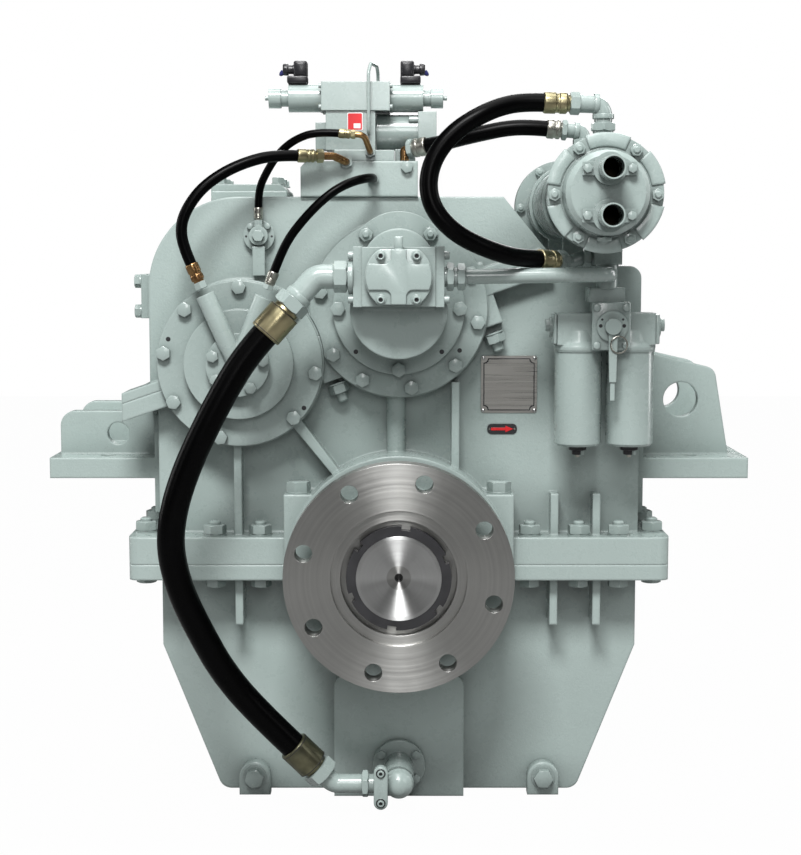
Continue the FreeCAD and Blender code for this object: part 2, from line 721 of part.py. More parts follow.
def output_line():
    r = S.output_shaft_radius
    seat = r + 8
    neck = r - 5
    gear_end = S.output_gear_y + S.output_gear_width
    face = dim(3)
    dish = S.nut_inner_radius - 6
    profile = [(15, 0), (15, 6), (12, 6), (face, dish), (face, S.nut_inner_radius - S.fit),
               (S.flange_recess_depth, S.nut_inner_radius - S.fit),
               (S.flange_recess_depth, neck), (S.flange_hub_end_y, neck),
               (S.flange_hub_end_y, r), (S.output_gear_y, r), (S.output_gear_y, seat),
               (gear_end, seat), (gear_end, seat + 12), (gear_end + 15, seat + 12),
               (gear_end + 15, r), (S.rear_y - 2, r), (S.rear_y - 2, 0)]
    turned(profile, "Y", label="output_shaft")
    wheel = gear(S.output_module, S.output_teeth, seat + S.fit, S.output_gear_y,
                 S.output_gear_width, phase=0.0, addendum=0.9)
    inner = S.output_module * S.output_teeth / 2 - 38
    web_side = (S.output_gear_width - 36) / 2
    reliefs = [turned(stepped([(a, b, inner)], seat + 35), "Y")
               for a, b in ((S.output_gear_y - 1, S.output_gear_y + web_side),
                            (gear_end - web_side, gear_end + 1))]
    holes = [cylinder(38, S.output_gear_width, x, S.output_gear_y, z, "+Y")
             for x, z in around(6, 225, 30)]
    cut(wheel, reliefs + holes, "output_gear")

    body = new_body()
    disc(body, 0, 0, S.flange_radius, 0, S.flange_thickness)
    disc(body, 0, 0, S.flange_hub_radius, S.flange_thickness, S.flange_hub_end_y)
    doc.recompute()
    pierce(body, [(0, 0, S.flange_recess_radius)], 0, 6)
    pierce(body, [(0, 0, S.nut_outer_radius + 10)], 0, S.flange_recess_depth)
    pierce(body, [(0, 0, neck + S.fit)], 0, S.flange_hub_end_y)
    drill = pierce(body, [(-(S.flange_pitch_radius * math.sin(math.radians(30))),
                           S.flange_pitch_radius * math.cos(math.radians(30)),
                           S.flange_hole_radius)], 0, S.flange_thickness)
    doc.recompute()
    ring = body.newObject("PartDesign::PolarPattern", fresh("pattern"))
    ring.Originals = [drill]
    ring.Axis = ([f for f in body.Origin.OriginFeatures if f.Role == "Y_Axis"][0], [""])
    ring.Angle = 360
    ring.setExpression("Occurrences", S.flange_holes.text)
    body.Tip = ring
    named(body, "output_flange")

    ring_front = 4
    nut = turned(stepped([(ring_front, S.flange_recess_depth, S.nut_outer_radius)],
                         S.nut_inner_radius + S.fit), "Y")
    notches = []
    for x, z in around(6, S.nut_outer_radius, 82):
        angle = math.degrees(math.atan2(z.value, x.value))
        block = doc.addObject("Part::Box", fresh("block"))
        turn = FreeCAD.Rotation(V(0, 1, 0), -angle)
        block.setExpression("Length", (S.nut_notch_depth * 2).text)
        block.setExpression("Width", "40")
        block.setExpression("Height", S.nut_notch_width.text)
        offset = turn.multVec(V(-num(S.nut_notch_depth), 0, -num(S.nut_notch_width) / 2))
        place(block, x + offset.x, -5, z + offset.z, turn)
        notches.append(block)
    cut(nut, notches, "flange_lock_nut")


def drum_gear(teeth, centre, phase, hub_radius, label):
    """Clutch drum, open to the front, with the reversing gear teeth round it."""
    front, depth = S.drum_front_y, S.drum_depth
    back = front + depth
    outer, inner = S.drum_outer_radius, S.drum_outer_radius - S.drum_wall
    hub = hub_radius + S.fit
    profile = [(front, inner), (front, outer), (back, outer), (back, hub_radius + 22),
               (back + 18, hub_radius + 22), (back + 18, hub), (back - 15, hub),
               (back - 15, inner)]
    drum = turned(profile, "Y", centre[0], 0, centre[1])
    teeth_ring = gear(S.drive_module, teeth, outer - 3, S.drive_gear_y, S.drive_gear_width, phase,
                      0.9, x=centre[0], z=centre[1])
    return fuse([drum, teeth_ring], label)


def pinion(centre, phase, label):
    """Pinion with the clutch hub behind it, free on its shaft."""
    start = S.output_gear_y - (S.pinion_width - S.output_gear_width) / 2
    end = start + S.pinion_width
    bore = S.upper_shaft_radius + S.running_fit
    hub = turned(stepped([(end - 1, end + 16, S.clutch_hub_radius - 4),
                          (end + 16, S.drum_front_y + 70, S.clutch_hub_radius)], bore),
                 "Y", centre[0], 0, centre[1])
    wheel = gear(S.output_module, S.pinion_teeth, bore, start, S.pinion_width, phase, 0.9,
                 x=centre[0], z=centre[1])
    return fuse([wheel, hub], label)


def clutch_discs(centre, inner, outer, shift, label):
    rings = []
    for k in range(int(num(S.disc_count))):
        low = S.drum_front_y + 8 + shift + S.disc_pitch * 2 * k
        rings.append(turned(stepped([(low, low + S.disc_thickness, outer)], inner), "Y",
                            centre[0], 0, centre[1]))
    return group(rings, label)


def upper_line(centre, phase, pinion_phase, teeth, word, front_steps, rear_steps):
    r, journal = S.upper_shaft_radius, S.journal_radius
    gap = S.running_fit
    hub_seat = journal + 2
    drum_back = S.drum_front_y + S.drum_depth
    drum_inner = S.drum_outer_radius - S.drum_wall
    steps = front_steps + [
        (S.input_boss_y, S.input_boss_y + S.bearing_width + 6, journal),
        (S.input_boss_y + S.bearing_width + 6, drum_back - 25, r),
        (drum_back - 25, drum_back + 19, hub_seat),
        (drum_back + 19, S.rear_y - 2, journal)] + rear_steps
    shaft_name = "input_shaft" if word == "ahead" else "countershaft"
    shaft = turned(stepped(steps), "Y", centre[0], 0, centre[1])
    drum_gear(teeth, centre, phase, hub_seat, f"{word}_drum_gear")
    pinion(centre, pinion_phase, f"{word}_pinion")
    clutch_discs(centre, S.clutch_hub_radius + 8, drum_inner - gap, 0, f"{word}_steel_plates")
    clutch_discs(centre, S.clutch_hub_radius + gap, drum_inner - 4, S.disc_pitch,
                 f"{word}_friction_discs")
    return shaft, shaft_name


STEP_GEAR_Y = dim(76)
STEP_GEAR_WIDTH = 26


def make_running_gear():
    bearing_rings()
    output_line()
    output_z, pinion_z = int(num(S.output_teeth)), int(num(S.pinion_teeth))
    input_z, counter_z = int(num(S.input_teeth)), int(num(S.counter_teeth))
    to_input = math.pi / 2
    to_counter = math.atan2(COUNTER[1].value, COUNTER[0].value)
    between = math.atan2(COUNTER[1].value - num(S.centre_drop), COUNTER[0].value)
    shaft, label = upper_line(
        INPUT, 0.0, mate_phase(0.0, output_z, pinion_z, to_input), S.input_teeth, "ahead",
        [(62, 118, 26), (118, S.input_boss_y, 38)],
        [(S.rear_y - 2, S.coupling_y - 60, journal_end()), (S.coupling_y - 60, S.coupling_y - 12, 42)])
    step = gear(S.step_module, S.step_teeth, 24, STEP_GEAR_Y, STEP_GEAR_WIDTH, 0.0, 0.9,
                x=0, z=S.centre_drop)
    fuse([shaft, step], label)
    shaft, label = upper_line(
        COUNTER, mate_phase(0.0, input_z, counter_z, between),
        mate_phase(0.0, output_z, pinion_z, to_counter), S.counter_teeth, "astern",
        [(S.counter_boss_y - 12, S.input_boss_y, 38)], [])
    named(shaft, label)
    seat = 42 + S.fit
    face = S.coupling_y
    coupling = turned([(face - 59, seat), (face - 59, 70), (face - 28, 70), (face - 28, 125),
                       (face, 125), (face, 60), (face - 10, 60), (face - 10, seat)], "Y", 0, 0,
                      S.centre_drop)
    holes = [cylinder(8.5, 40, x, face - 34, S.centre_drop + z, "+Y") for x, z in around(8, 105, 22.5)]
    cut(coupling, holes, "input_coupling")


def journal_end():
    return S.upper_shaft_radius


# Covers on the bearing bosses

def cover_bolts_at(spots, centre, y, turn="-Y", bolt=None):
    return [copy_at(bolt or cover_bolt, centre[0] + x, y, centre[1] + z, turn) for x, z in spots]


INPUT_COVER_ANGLES = (114, 67, 26, -10, -45, -81, -117, -145, 168)
COUNTER_COVER_ANGLES = (90, 135, 172, 210, 255, -45, -7, 45)


def drilled(spots, centre, y_from, length, radius):
    return [cylinder(radius, length, centre[0] + x, y_from, centre[1] + z, "+Y") for x, z in spots]


def make_covers():
    """Seal cover, input gear case cover, countershaft cover and oil distributor."""
    grip = S.cover_thickness - 1
    hole = S.bolt_radius + S.seat_gap
    bolts = []
    # output seal cover behind the flange
    seal_outer = S.output_bearing_radius + 30
    back = S.output_boss_y
    front = S.flange_hub_end_y + 1
    ring = turned([(front - 20, S.flange_hub_radius + 1), (front - 20, seal_outer - 25),
                   (back - 12, seal_outer), (back, seal_outer),
                   (back, S.output_shaft_radius + 1), (front + 1, S.output_shaft_radius + 1),
                   (front + 1, S.flange_hub_radius + 1)], "Y")
    named(ring, "output_seal_cover")
    # input cover: round below, with a lobe over the pump drive
    y1 = S.input_boss_y
    y0 = y1 - S.cover_thickness
    body = new_body()
    disc(body, 0, S.centre_drop, S.input_boss_radius - 3, y0, y1)
    disc(body, 0, PUMP_AXIS_Z + 6, S.lobe_radius + 6, y0, y1)
    doc.recompute()
    pierce(body, [(0, S.centre_drop, 56), (0, PUMP_AXIS_Z, 36)], y0, y1)
    spots = at_angles(INPUT_COVER_ANGLES, S.input_boss_radius - 18)
    neighbour = cylinder(S.counter_boss_radius + 1, S.cover_thickness + 2, COUNTER[0], y0 - 1,
                         COUNTER[1], "+Y")
    cut(body, drilled(spots, INPUT, y0 - 1, S.cover_thickness + 2, hole) + [neighbour],
        "input_front_cover")
    bolts += cover_bolts_at(spots, INPUT, y0)
    # countershaft cover with a raised ring
    y1 = S.counter_boss_y
    y0 = y1 - S.cover_thickness
    body = new_body()
    disc(body, 0, 0, S.counter_boss_radius - 3, y0, y1)
    disc(body, 0, 0, 97, y0 - 22, y1)
    doc.recompute()
    pierce(body, [(0, 0, 40)], y0 - 22, y1)
    place(body, COUNTER[0], 0, COUNTER[1])
    spots = at_angles(COUNTER_COVER_ANGLES, S.counter_boss_radius - 14)
    cut(body, drilled(spots, COUNTER, y0 - 1, S.cover_thickness + 2, hole), "countershaft_cover")
    bolts += cover_bolts_at(spots, COUNTER, y0)
    # oil distributor cap on the countershaft cover, with two pipe bosses
    y2 = y0 - 22
    cap = new_body()
    disc(cap, 0, 0, 56, y2 - 18, y2)
    disc(cap, 0, 0, 36, y2 - 10, y2 + 20)
    place(cap, COUNTER[0], 0, COUNTER[1])
    cap_spots = at_angles((-145, -60, 10, 160), 46)
    bosses = []
    for lean, length in ((24, 135), (-22, 128)):
        turn = FreeCAD.Rotation(V(0, 1, 0), -lean)
        bosses.append(place(cylinder(17, length, 0, 0, 0), COUNTER[0], y2 - 17.5, COUNTER[1], turn))
    cut(fuse([cap] + bosses), drilled(cap_spots, COUNTER, y2 - 20, 24, hole),
        "oil_distributor_cap")
    bolts += cover_bolts_at(cap_spots, COUNTER, y2 - 18)
    return bolts


PUMP_AXIS_Z = S.pump_z + S.pump_module * S.pump_teeth / 2


def make_pump():
    """Gear case adapter, pump body, end cover with a cross pad, and the two pump gears."""
    back = S.adapter_back_y
    wall_y = dim(56)
    adapter = new_body()
    disc(adapter, 0, S.centre_drop, S.ring_radius, back - 16, back)
    disc(adapter, 0, S.centre_drop, S.bowl_radius, S.pump_back_y + 4, back)
    disc(adapter, 0, PUMP_AXIS_Z, S.lobe_radius - 20, S.pump_back_y, back)
    slab(adapter, [(-62, S.centre_drop), (-62, PUMP_AXIS_Z), (62, PUMP_AXIS_Z), (62, S.centre_drop)],
         S.pump_back_y, back)
    doc.recompute()
    pierce(adapter, [(0, S.centre_drop, S.bowl_radius - 12)], wall_y, back)
    pierce(adapter, [(0, PUMP_AXIS_Z, 40)], wall_y, back)
    pierce(adapter, [(0, PUMP_AXIS_Z, 12)], S.pump_back_y, wall_y)
    named(adapter, "pump_adapter")
    half, tall = S.pump_half, S.pump_half_height
    body = new_body()
    slab(body, [(-half, S.pump_z - tall), (-half, S.pump_z + tall), (half, S.pump_z + tall),
                (half, S.pump_z - tall)], S.pump_front_y, S.pump_back_y)
    for side in (-1, 1):
        inner = side * half
        outer = side * (half + 15)
        slab(body, [(inner, S.pump_z - tall - 1), (inner, S.pump_z + tall + 1),
                    (outer, S.pump_z + tall + 1), (outer, S.pump_z - tall - 1)],
             S.pump_front_y + 4, S.pump_back_y)
    doc.recompute()
    chamber = S.pump_module * (S.pump_teeth / 2 + 0.8) + 0.3
    low_z = S.pump_z - S.pump_module * S.pump_teeth / 2
    pierce(body, [(0, PUMP_AXIS_Z, chamber)], S.pump_front_y, S.pump_back_y - 8)
    pierce(body, [(0, low_z, chamber)], S.pump_front_y, S.pump_back_y - 8)
    pierce(body, [(0, PUMP_AXIS_Z, 12)], S.pump_front_y, S.pump_back_y)
    named(body, "pump_body")
    cover = new_body()
    disc(cover, 0, S.pump_z, S.pump_cover_radius, S.pump_cover_front_y, S.pump_front_y)
    pad_front = S.pump_cover_front_y - 4
    arm, bar = 13, 23
    reach = S.pump_cover_radius - 4
    slab(cover, [(-arm, S.pump_z - reach), (-arm, S.pump_z + reach), (arm, S.pump_z + reach),
                 (arm, S.pump_z - reach)], pad_front, S.pump_cover_front_y)
    slab(cover, [(-reach, S.pump_z - bar), (-reach, S.pump_z + bar), (reach, S.pump_z + bar),
                 (reach, S.pump_z - bar)], pad_front, S.pump_cover_front_y)
    recess = S.pump_cover_front_y
    spots = [(sx * 31, S.pump_z + sz * 38) for sx in (-1, 1) for sz in (-1, 1)]
    doc.recompute()
    pierce(cover, [(x, z, 5 + S.seat_gap) for x, z in spots], recess, S.pump_front_y)
    named(cover, "pump_end_cover")
    screw = socket_screw(5, 16)
    screws = [copy_at(screw, x, recess, z, "-Y") for x, z in spots]
    # gears: the drive gear carries the step gear on its shaft
    teeth = int(num(S.pump_teeth))
    long = S.pump_back_y - 8 - S.pump_front_y - 2
    step_phase = mate_phase(0.0, int(num(S.step_teeth)), int(num(S.pump_step_teeth)), math.pi / 2)
    low_phase = mate_phase(step_phase, teeth, teeth, -math.pi / 2)
    shaft = turned(stepped([(S.pump_front_y + 1, 108, 11.9)]), "Y", 0, 0, PUMP_AXIS_Z)
    step = gear(S.step_module, S.pump_step_teeth, 11, STEP_GEAR_Y, STEP_GEAR_WIDTH, step_phase, 0.9,
                x=0, z=PUMP_AXIS_Z)
    drive = gear(S.pump_module, S.pump_teeth, 11, S.pump_front_y + 1, long, step_phase, 0.8,
                 x=0, z=PUMP_AXIS_Z)
    fuse([shaft, step, drive], "pump_drive_gear")
    gear(S.pump_module, S.pump_teeth, 0, S.pump_front_y + 1, long, low_phase, 0.8,
         "pump_idler_gear", x=0, z=low_z)
    return screws, screw


cover_bolt = hex_bolt(S.bolt_radius, S.bolt_head_height, S.cover_thickness - 1)
make_running_gear()
cover_pieces = make_covers()
screw_pieces, small_screw = make_pump()


def make_inspection_covers():
    """Plates over the openings in the top and the left side of the top casing."""
    top = S.inspection_z
    plate = new_body()
    left, right = S.inspection_left, S.inspection_right
    slab(plate, [(-left, top), (-left, top + 12), (-(right + 12), top + 12), (-right, top)],
         S.inspection_y, S.inspection_y + S.inspection_length)
    reach = S.top_left + S.side_pad
    side = box((-(reach + 12), -reach), S_SIDE_Y, S_SIDE_Z)
    group([plate, side], "inspection_covers")
    rear = S.rear_y
    behind = S.rear_boss_y
    output = turned(stepped([(behind, behind + 14, S.output_bearing_radius + 26)]), "Y")
    counter = turned(stepped([(rear, rear + 14, S.upper_bearing_radius + 22)]), "Y",
                     COUNTER[0], 0, COUNTER[1])
    driver = turned(stepped([(rear, rear + 24, S.upper_bearing_radius + 22)],
                            S.upper_shaft_radius + 1), "Y", 0, 0, S.centre_drop)
    group([output, counter, driver], "rear_bearing_covers")


S_SIDE_Y = (300, 420)
S_SIDE_Z = (437, 519)


def make_cooler():
    """Tube cooler along Y with bolted end caps, water ports, a tube bundle and a bracket."""
    x, z = S.cooler_x, S.cooler_z
    front, rear = S.cooler_front_y, S.cooler_rear_y
    r, flange, thick = S.cooler_radius, S.cooler_flange_radius, S.cooler_flange_thickness
    cap = 14
    start, stop = front + cap, rear - cap
    inner = r - 5
    shell = turned([(start, inner), (start, flange), (start + thick, flange), (start + thick, r),
                    (stop - thick, r), (stop - thick, flange), (stop, flange), (stop, inner)],
                   "Y", x, 0, z)
    bolt_spots = at_angles(COOLER_BOLT_ANGLES, flange - 11)
    hole = S.bolt_radius * 0.8 + S.seat_gap
    centre = (x, z)
    rods = drilled(bolt_spots, centre, front - 5, rear - front + 10, hole)
    bosses = [cylinder(16, 30, x - 16, COOLER_NECK_Y[1], z + r - 14, "+Z"),
              cylinder(17, 46, x, COOLER_NECK_Y[0], z + r - 14, "+Z")]
    drum = turned(stepped([(start + thick + 2, stop - thick - 2, inner + 1)]), "Y", x, 0, z)
    bosses = cut(fuse(bosses), drum)
    cut(fuse([shell, bosses]), rods, "cooler_shell")
    dome = 36
    depth = front - dome
    caps = turned([(depth, 0), (depth, 61), (depth + 8, 69), (front, 73), (front, flange),
                   (start, flange), (start, 68), (front, 68), (depth + 14, 60), (depth + 9, 52),
                   (depth + 9, 0)], "Y", x, 0, z)
    ports = [(x + 1, z + 38), (x + 1, z - 38)]
    waterways = [cylinder(S.port_bore, 40, px, depth - 5, pz, "+Y") for px, pz in ports]
    cut(caps, rods + waterways, "cooler_front_cap")
    pieces = []
    for px, pz in ports:
        ring = turned(stepped([(depth - 9, depth, 27)], S.port_bore), "Y", px, 0, pz)
        ears = cut(box((px - 44, px + 44), (depth - 8, depth), (pz - 11, pz + 11)),
                   [cylinder(24, 20, px, depth - 14, pz, "+Y")]
                   + [cylinder(4.3, 20, px + side * 36, depth - 14, pz, "+Y") for side in (-1, 1)])
        stub = turned(stepped([(depth - 9 - S.port_tube_length, depth - 9, S.port_bore + 2.5)], S.port_bore),
                      "Y", px, 0, pz)
        pieces.append(fuse([ring, ears, stub]))
    group(pieces, "cooler_water_ports")
    back = rear + dome - 6
    end = turned([(stop, 68), (stop, flange), (rear, flange), (rear, 73), (back - 8, 69), (back, 61),
                  (back, 0), (back - 9, 0), (back - 9, 52), (back - 14, 60), (rear, 68)], "Y", x, 0, z)
    cut(end, rods, "cooler_rear_cap")
    sheets = [turned(stepped([(a, a + 12, inner - S.fit)]), "Y", x, 0, z)
              for a in (start + 2, stop - 14)]
    tubes = [cylinder(6, stop - start - 10, x + dx, start + 5, z + dz, "+Y")
             for dx, dz in around(6, 24) + around(12, 48, 15)]
    fuse(sheets + tubes, "cooler_tube_bundle")
    bolt = hex_bolt(S.bolt_radius * 0.8, S.bolt_head_height, cap + thick - 2)
    bolts = cover_bolts_at(bolt_spots, centre, front, "-Y", bolt)
    bolts += cover_bolts_at(bolt_spots, centre, rear, "+Y", bolt)
    small = hex_bolt(4, 6, 5)
    bolts += [copy_at(small, px + side * 36, depth - 8, pz, "-Y") for px, pz in ports
              for side in (-1, 1)]
    # saddles on the shoulder of the middle casing
    webs = []
    ring_r = r + S.seat_gap
    for y in (260, 560):
        band = turned(stepped([(y, y + 26, ring_r + 6)], ring_r), "Y", x, 0, z)
        web = new_body()
        slab(web, [(x - 38, S.shoulder_z), (x - 38, z - 50), (x + 40, z - 50), (x + 52, S.shoulder_z)],
             y + 4, y + 22)
        foot = box((x - 40, x + 62), (y - 14, y + 40), (S.shoulder_z, S.shoulder_z + 12))
        clear = cylinder(ring_r, 40, x, y - 5, z, "+Y")
        webs.append(fuse([band, cut(fuse([web, foot]), clear)]))
    group(webs, "cooler_saddles")
    return bolts


COOLER_BOLT_ANGLES = (122, 55, -2, -62, -122, 182)


def make_filter():
    """Duplex filter: cast head, change-over dial and lever, two bowls and their elements."""
    x, y, z = S.filter_x, S.filter_y, S.filter_head_z
    half = S.bowl_spacing / 2
    top, tall, r = S.filter_bowl_top_z, S.filter_bowl_height, S.filter_bowl_radius
    centres = [x - half, x + half]
    head = [box((x - half - 40, x + half + 40), (y - 32, y + 36), (z - 26, z + 30)),
            box((x - 22, x + 22), (FACE_Y + 6, y + 36), (z - 34, z + 50)),
            box((x - 50, x + 50), (y + 30, S.upper_front_y), (z - 24, z + 24)),
            box((x - 31, x + 31), (y - 34, y + 30), (z + 49, z + 74)),
            cylinder(18.4, 50, x, y - 20, z + 72, "+Z"),
            box((x - 24, x + 24), (y - 42, y + 2), (z + 114, z + 138))]
    for cx in centres:
        head.append(turned([(top, 0), (top, r + 2), (top + 8, r + 3), (top + 16, 38), (z, 34), (z, 0)],
                           "Z", cx, y, 0))
        outward = "-X" if cx is centres[0] else "+X"
        sign = -1 if cx is centres[0] else 1
        head.append(hexagon(15, 14, cx + sign * 38, y, z + 2, outward))
    dial = cylinder(27, 8, x + 7, FACE_Y - 2, z + 8, "+Y")
    body = fuse(head)
    spindle = cylinder(6.3, 40, x + 7, FACE_Y - 4, z + 8, "+Y")
    passage = [cylinder(30, 30, cx, y, top - 1, "+Z") for cx in centres]
    cut(fuse([body, dial]), [spindle] + passage, "filter_head")
    bowls, elements = [], []
    for cx in centres:
        low = top - tall
        bowls.append(turned([(low, 0), (low, r - 4), (low + 4, r), (top, r), (top, r - 4),
                             (low + 8, r - 4), (low + 5, r - 8), (low + 5, 0)], "Z", cx, y, 0))
        bowls.append(fuse([hexagon(13, 8, cx + 4, y, low - 8), cylinder(8, 9, cx + 4, y, low - 17)]))
        elements.append(turned(stepped([(low + 6, top - S.seat_gap, 31)], 14), "Z", cx, y, 0))
    group(bowls, "filter_bowls")
    group(elements, "filter_elements")
    lever = new_body()
    slab(lever, [(-6, -96), (-8, 0), (8, 0), (6, -96)], 0, 10)
    disc(lever, 0, 0, 14, -4, 10)
    slab(lever, [(-4, -128), (-4, -94), (4, -94), (4, -128)], 2, 9)
    disc(lever, 0, 0, 6, 9, 30)
    place(lever, x + 7, FACE_Y - 13, z + 8)
    named(lever, "changeover_lever")


FACE_Y = dim(55)
COOLER_NECK_Y = (-6.2, 150)


def make_valve():
    """Control valve on top: manifold, valve body, solenoid block, solenoids and plugs."""
    top = S.top_z
    y0 = S.upper_front_y - 7
    body = new_body()
    slab(body, [(-176, top), (-176, top + 52), (-166, top + 63), (34, top + 63), (34, top)], y0, y0 + 142)
    manifold = named(body, "valve_manifold")
    level = top + 63
    parts = [box((-116, -8), (y0 + 6, y0 + 120), (level, level + 20)),
             box((-131, -42), (y0 + 12, y0 + 105), (level + 20, level + 90)),
             box((-150, -131), (y0 + 25, y0 + 80), (level + 22, level + 70))]
    fuse(parts, "valve_body")
    base = level + 90
    mid_z = base + 25
    mid_y = y0 + 50
    named(box((-139, -16), (y0 + 8, y0 + 98), (base, base + 51)), "solenoid_block")
    coils = []
    for face, sign, turn in ((-139, -1, "-X"), (-16, 1, "+X")):
        coil = fuse([cylinder(25, 60, face, mid_y, mid_z, turn),
                     cylinder(15, 16, face + sign * 58, mid_y, mid_z, turn),
                     cylinder(18, 22, face + sign * 74, mid_y, mid_z, turn),
                     cylinder(4, 7, face + sign * 96, mid_y, mid_z, turn)])
        coils.append(coil)
    group(coils, "solenoids")
    plugs = []
    for low, sign in ((-188, -1), (3, 1)):
        edge = low if sign < 0 else low + 24
        plugs.append(fuse([box((low, low + 24), (mid_y - 14, mid_y + 14), (mid_z + 25.2, mid_z + 66)),
                           cylinder(10, 22, edge, mid_y, mid_z + 52, "-X" if sign < 0 else "+X")]))
    group(plugs, "solenoid_plugs")
    damper = [cylinder(33, 76, -41, y0 + 66, level + 55, "+X"),
              box((35, 68), (y0 + 30, y0 + 102), (level + 20, level + 90)),
              box((-7, 30), (y0 + 46, y0 + 86), (level, level + 24))]
    fuse([damper[0], damper[1], damper[2]], "damper_cylinder")
    # small sensor flange on the front wall
    wall_y = S.upper_front_y
    fuse([cylinder(28, 11, -251, wall_y - 11, 589, "+Y"), cylinder(17, 14, -251, wall_y - 25, 589, "+Y"),
          hexagon(11, 7, -251, wall_y - 32, 589, "+Y"), cylinder(8, 20, -251, wall_y - 18, 589, "+Z"),
          box((-262, -240), (wall_y - 22, wall_y), (518, 570))], "sensor_flange")
    return manifold


SUCTION_ROUTE = [(-226, 6, 422), (-258, 2, 386), (-291, -6, 333), (-329, -14, 262),
                 (-364, -18, 185), (-386, -18, 113), (-391, -12, 47), (-373, -2, -28),
                 (-342, 14, -100), (-308, 34, -171), (-255, 52, -243), (-187, 62, -313)]
COOLER_FRONT_ROUTE = [(243, -9, 807), (208, -10, 808), (169, -18, 800), (131, -30, 783),
                      (97, -34, 761), (70, -38, 733), (53, -42, 701), (48, -46, 667),
                      (55, -50, 635), (76, -51, 606), (106, -48, 583), (144, -36, 566),
                      (181, -12, 554), (212, 14, 549), (240, 36, 547)]
COOLER_REAR_ROUTE = [(263, 150, 776), (228, 150, 779), (188, 152, 777), (149, 156, 769),
                     (112, 163, 761), (79, 174, 753), (48, 186, 748)]
CLUTCH_ROUTE = [(-177, 148, 729), (-220, 138, 729), (-263, 126, 718), (-305, 115, 699),
                (-343, 105, 671), (-368, 99, 637), (-380, 97, 605), (-376, 97.5, 570), (-361.5, 97.5, 537)]
PRESSURE_ROUTE = [(-104, 150, 768), (-145, 152, 771), (-184, 158, 758), (-213, 166, 735),
                  (-235, 173, 703), (-251, 177, 669), (-251, 177, 637)]
LUBE_ROUTE = [(-46, 188, 691), (-46, 160, 691), (-57, 133, 689), (-79, 112, 683), (-108, 100, 669),
              (-137, 95, 646), (-165, 94, 617), (-190, 95.5, 586), (-207, 97.5, 553),
              (-218.5, 97.5, 523.5)]


def swept(route, radius):
    """A tube of straight runs joined by tangent arcs as large as the runs allow."""
    points = [V(*p) for p in route]
    runs = [(b - a) for a, b in zip(points, points[1:])]
    edges, radii = [], []
    here = points[0]
    for i in range(1, len(points) - 1):
        before, after = runs[i - 1], runs[i]
        d1, d2 = V(before).normalize(), V(after).normalize()
        turn = d1.getAngle(d2)
        trim = 0.45 * min(before.Length, after.Length)
        start = points[i] - d1 * trim
        stop = points[i] + d2 * trim
        bend = trim / math.tan(turn / 2)
        radii.append(bend)
        out = (d2 - d1).normalize()
        crown = points[i] + out * (bend / math.cos(turn / 2) - bend)
        edges.append(Part.LineSegment(here, start).toShape())
        edges.append(Part.Arc(start, crown, stop).toShape())
        here = stop
    edges.append(Part.LineSegment(here, points[-1]).toShape())
    path = Part.Wire(edges)
    profile = Part.Wire([Part.Circle(points[0], runs[0], radius).toShape()])
    return path.makePipeShell([profile], True, True), path, radii


def hose(label, route, radius):
    """One free hose, with its length, tightest bend and volume printed as a check."""
    solid, path, radii = swept(route, radius)
    obj = doc.addObject("Part::Feature", fresh("hose"))
    obj.Shape = solid
    expected = math.pi * radius ** 2 * path.Length
    print(f"{label}: length {path.Length:.0f}, smallest radius {min(radii):.0f}, "
          f"volume ratio {solid.Volume / expected:.4f}")
    return named(obj, label)


def along(start, direction, pieces):
    """Turned fittings in a row from a point: (kind, radius, length) for each, bore left solid."""
    axis = V(*direction).normalize()
    turn = FreeCAD.Rotation(V(0, 0, 1), axis)
    here = V(*start)
    made = []
    for kind, radius, length in pieces:
        shape = hexagon if kind == "hex" else cylinder
        made.append(shape(radius, length, here.x, here.y, here.z, turn))
        here = here + axis * length
    return made, here


def direction_out(route, at_end):
    a, b = (route[-2], route[-1]) if at_end else (route[1], route[0])
    return tuple(q - p for p, q in zip(a, b))


def ball(radius, x, y, z):
    obj = doc.addObject("Part::Sphere", fresh("ball"))
    obj.setExpression("Radius", dim(radius).text)
    return place(obj, x, y, z)


def make_pipes():
    """Hoses with their crimped ferrules, the bent pipes and the elbows they screw into."""
    hose("suction_hose", SUCTION_ROUTE, 24)
    hose("cooler_inlet_hose", COOLER_FRONT_ROUTE, 15.5)
    hose("cooler_outlet_hose", COOLER_REAR_ROUTE, 14)
    hose("clutch_oil_hose", CLUTCH_ROUTE, 10)
    hose("pressure_hose", PRESSURE_ROUTE, 7)
    hose("lubrication_hose", LUBE_ROUTE, 8)
    ferrules = []
    ends = {}
    for word, route, radius, length, nut in (
            ("suction", SUCTION_ROUTE, 29, 56, 30), ("front", COOLER_FRONT_ROUTE, 18, 42, 19),
            ("rear", COOLER_REAR_ROUTE, 17, 24, 18), ("clutch", CLUTCH_ROUTE, 12, 32, 12),
            ("pressure", PRESSURE_ROUTE, 8.5, 20, 8), ("lube", LUBE_ROUTE, 10, 22, 10)):
        for at_end in (False, True):
            point = route[-1] if at_end else route[0]
            if word == "lube" and not at_end:
                continue
            made, here = along(point, direction_out(route, at_end),
                               [("rod", radius, length), ("hex", nut, length * 0.4)])
            ferrules.append(fuse(made))
            ends[word, at_end] = (here, V(*direction_out(route, at_end)).normalize())
    wall_y = num(S.upper_front_y) - 7
    bends = [tube(leaving(ends["clutch", False], 18) + [(-94, 169, 720), (-94, wall_y - 0.3, 720)], 7),
             tube(leaving(ends["pressure", False], 15) + [(-51, 166, 738), (-51, wall_y + 3.7, 738)], 5.5),
             tube(leaving(ends["rear", True], 7) + [(10, 200, 738), (10, 200, num(S.top_z) + 63.8)], 8)]
    group(ferrules + bends, "hose_fittings")
    return ends


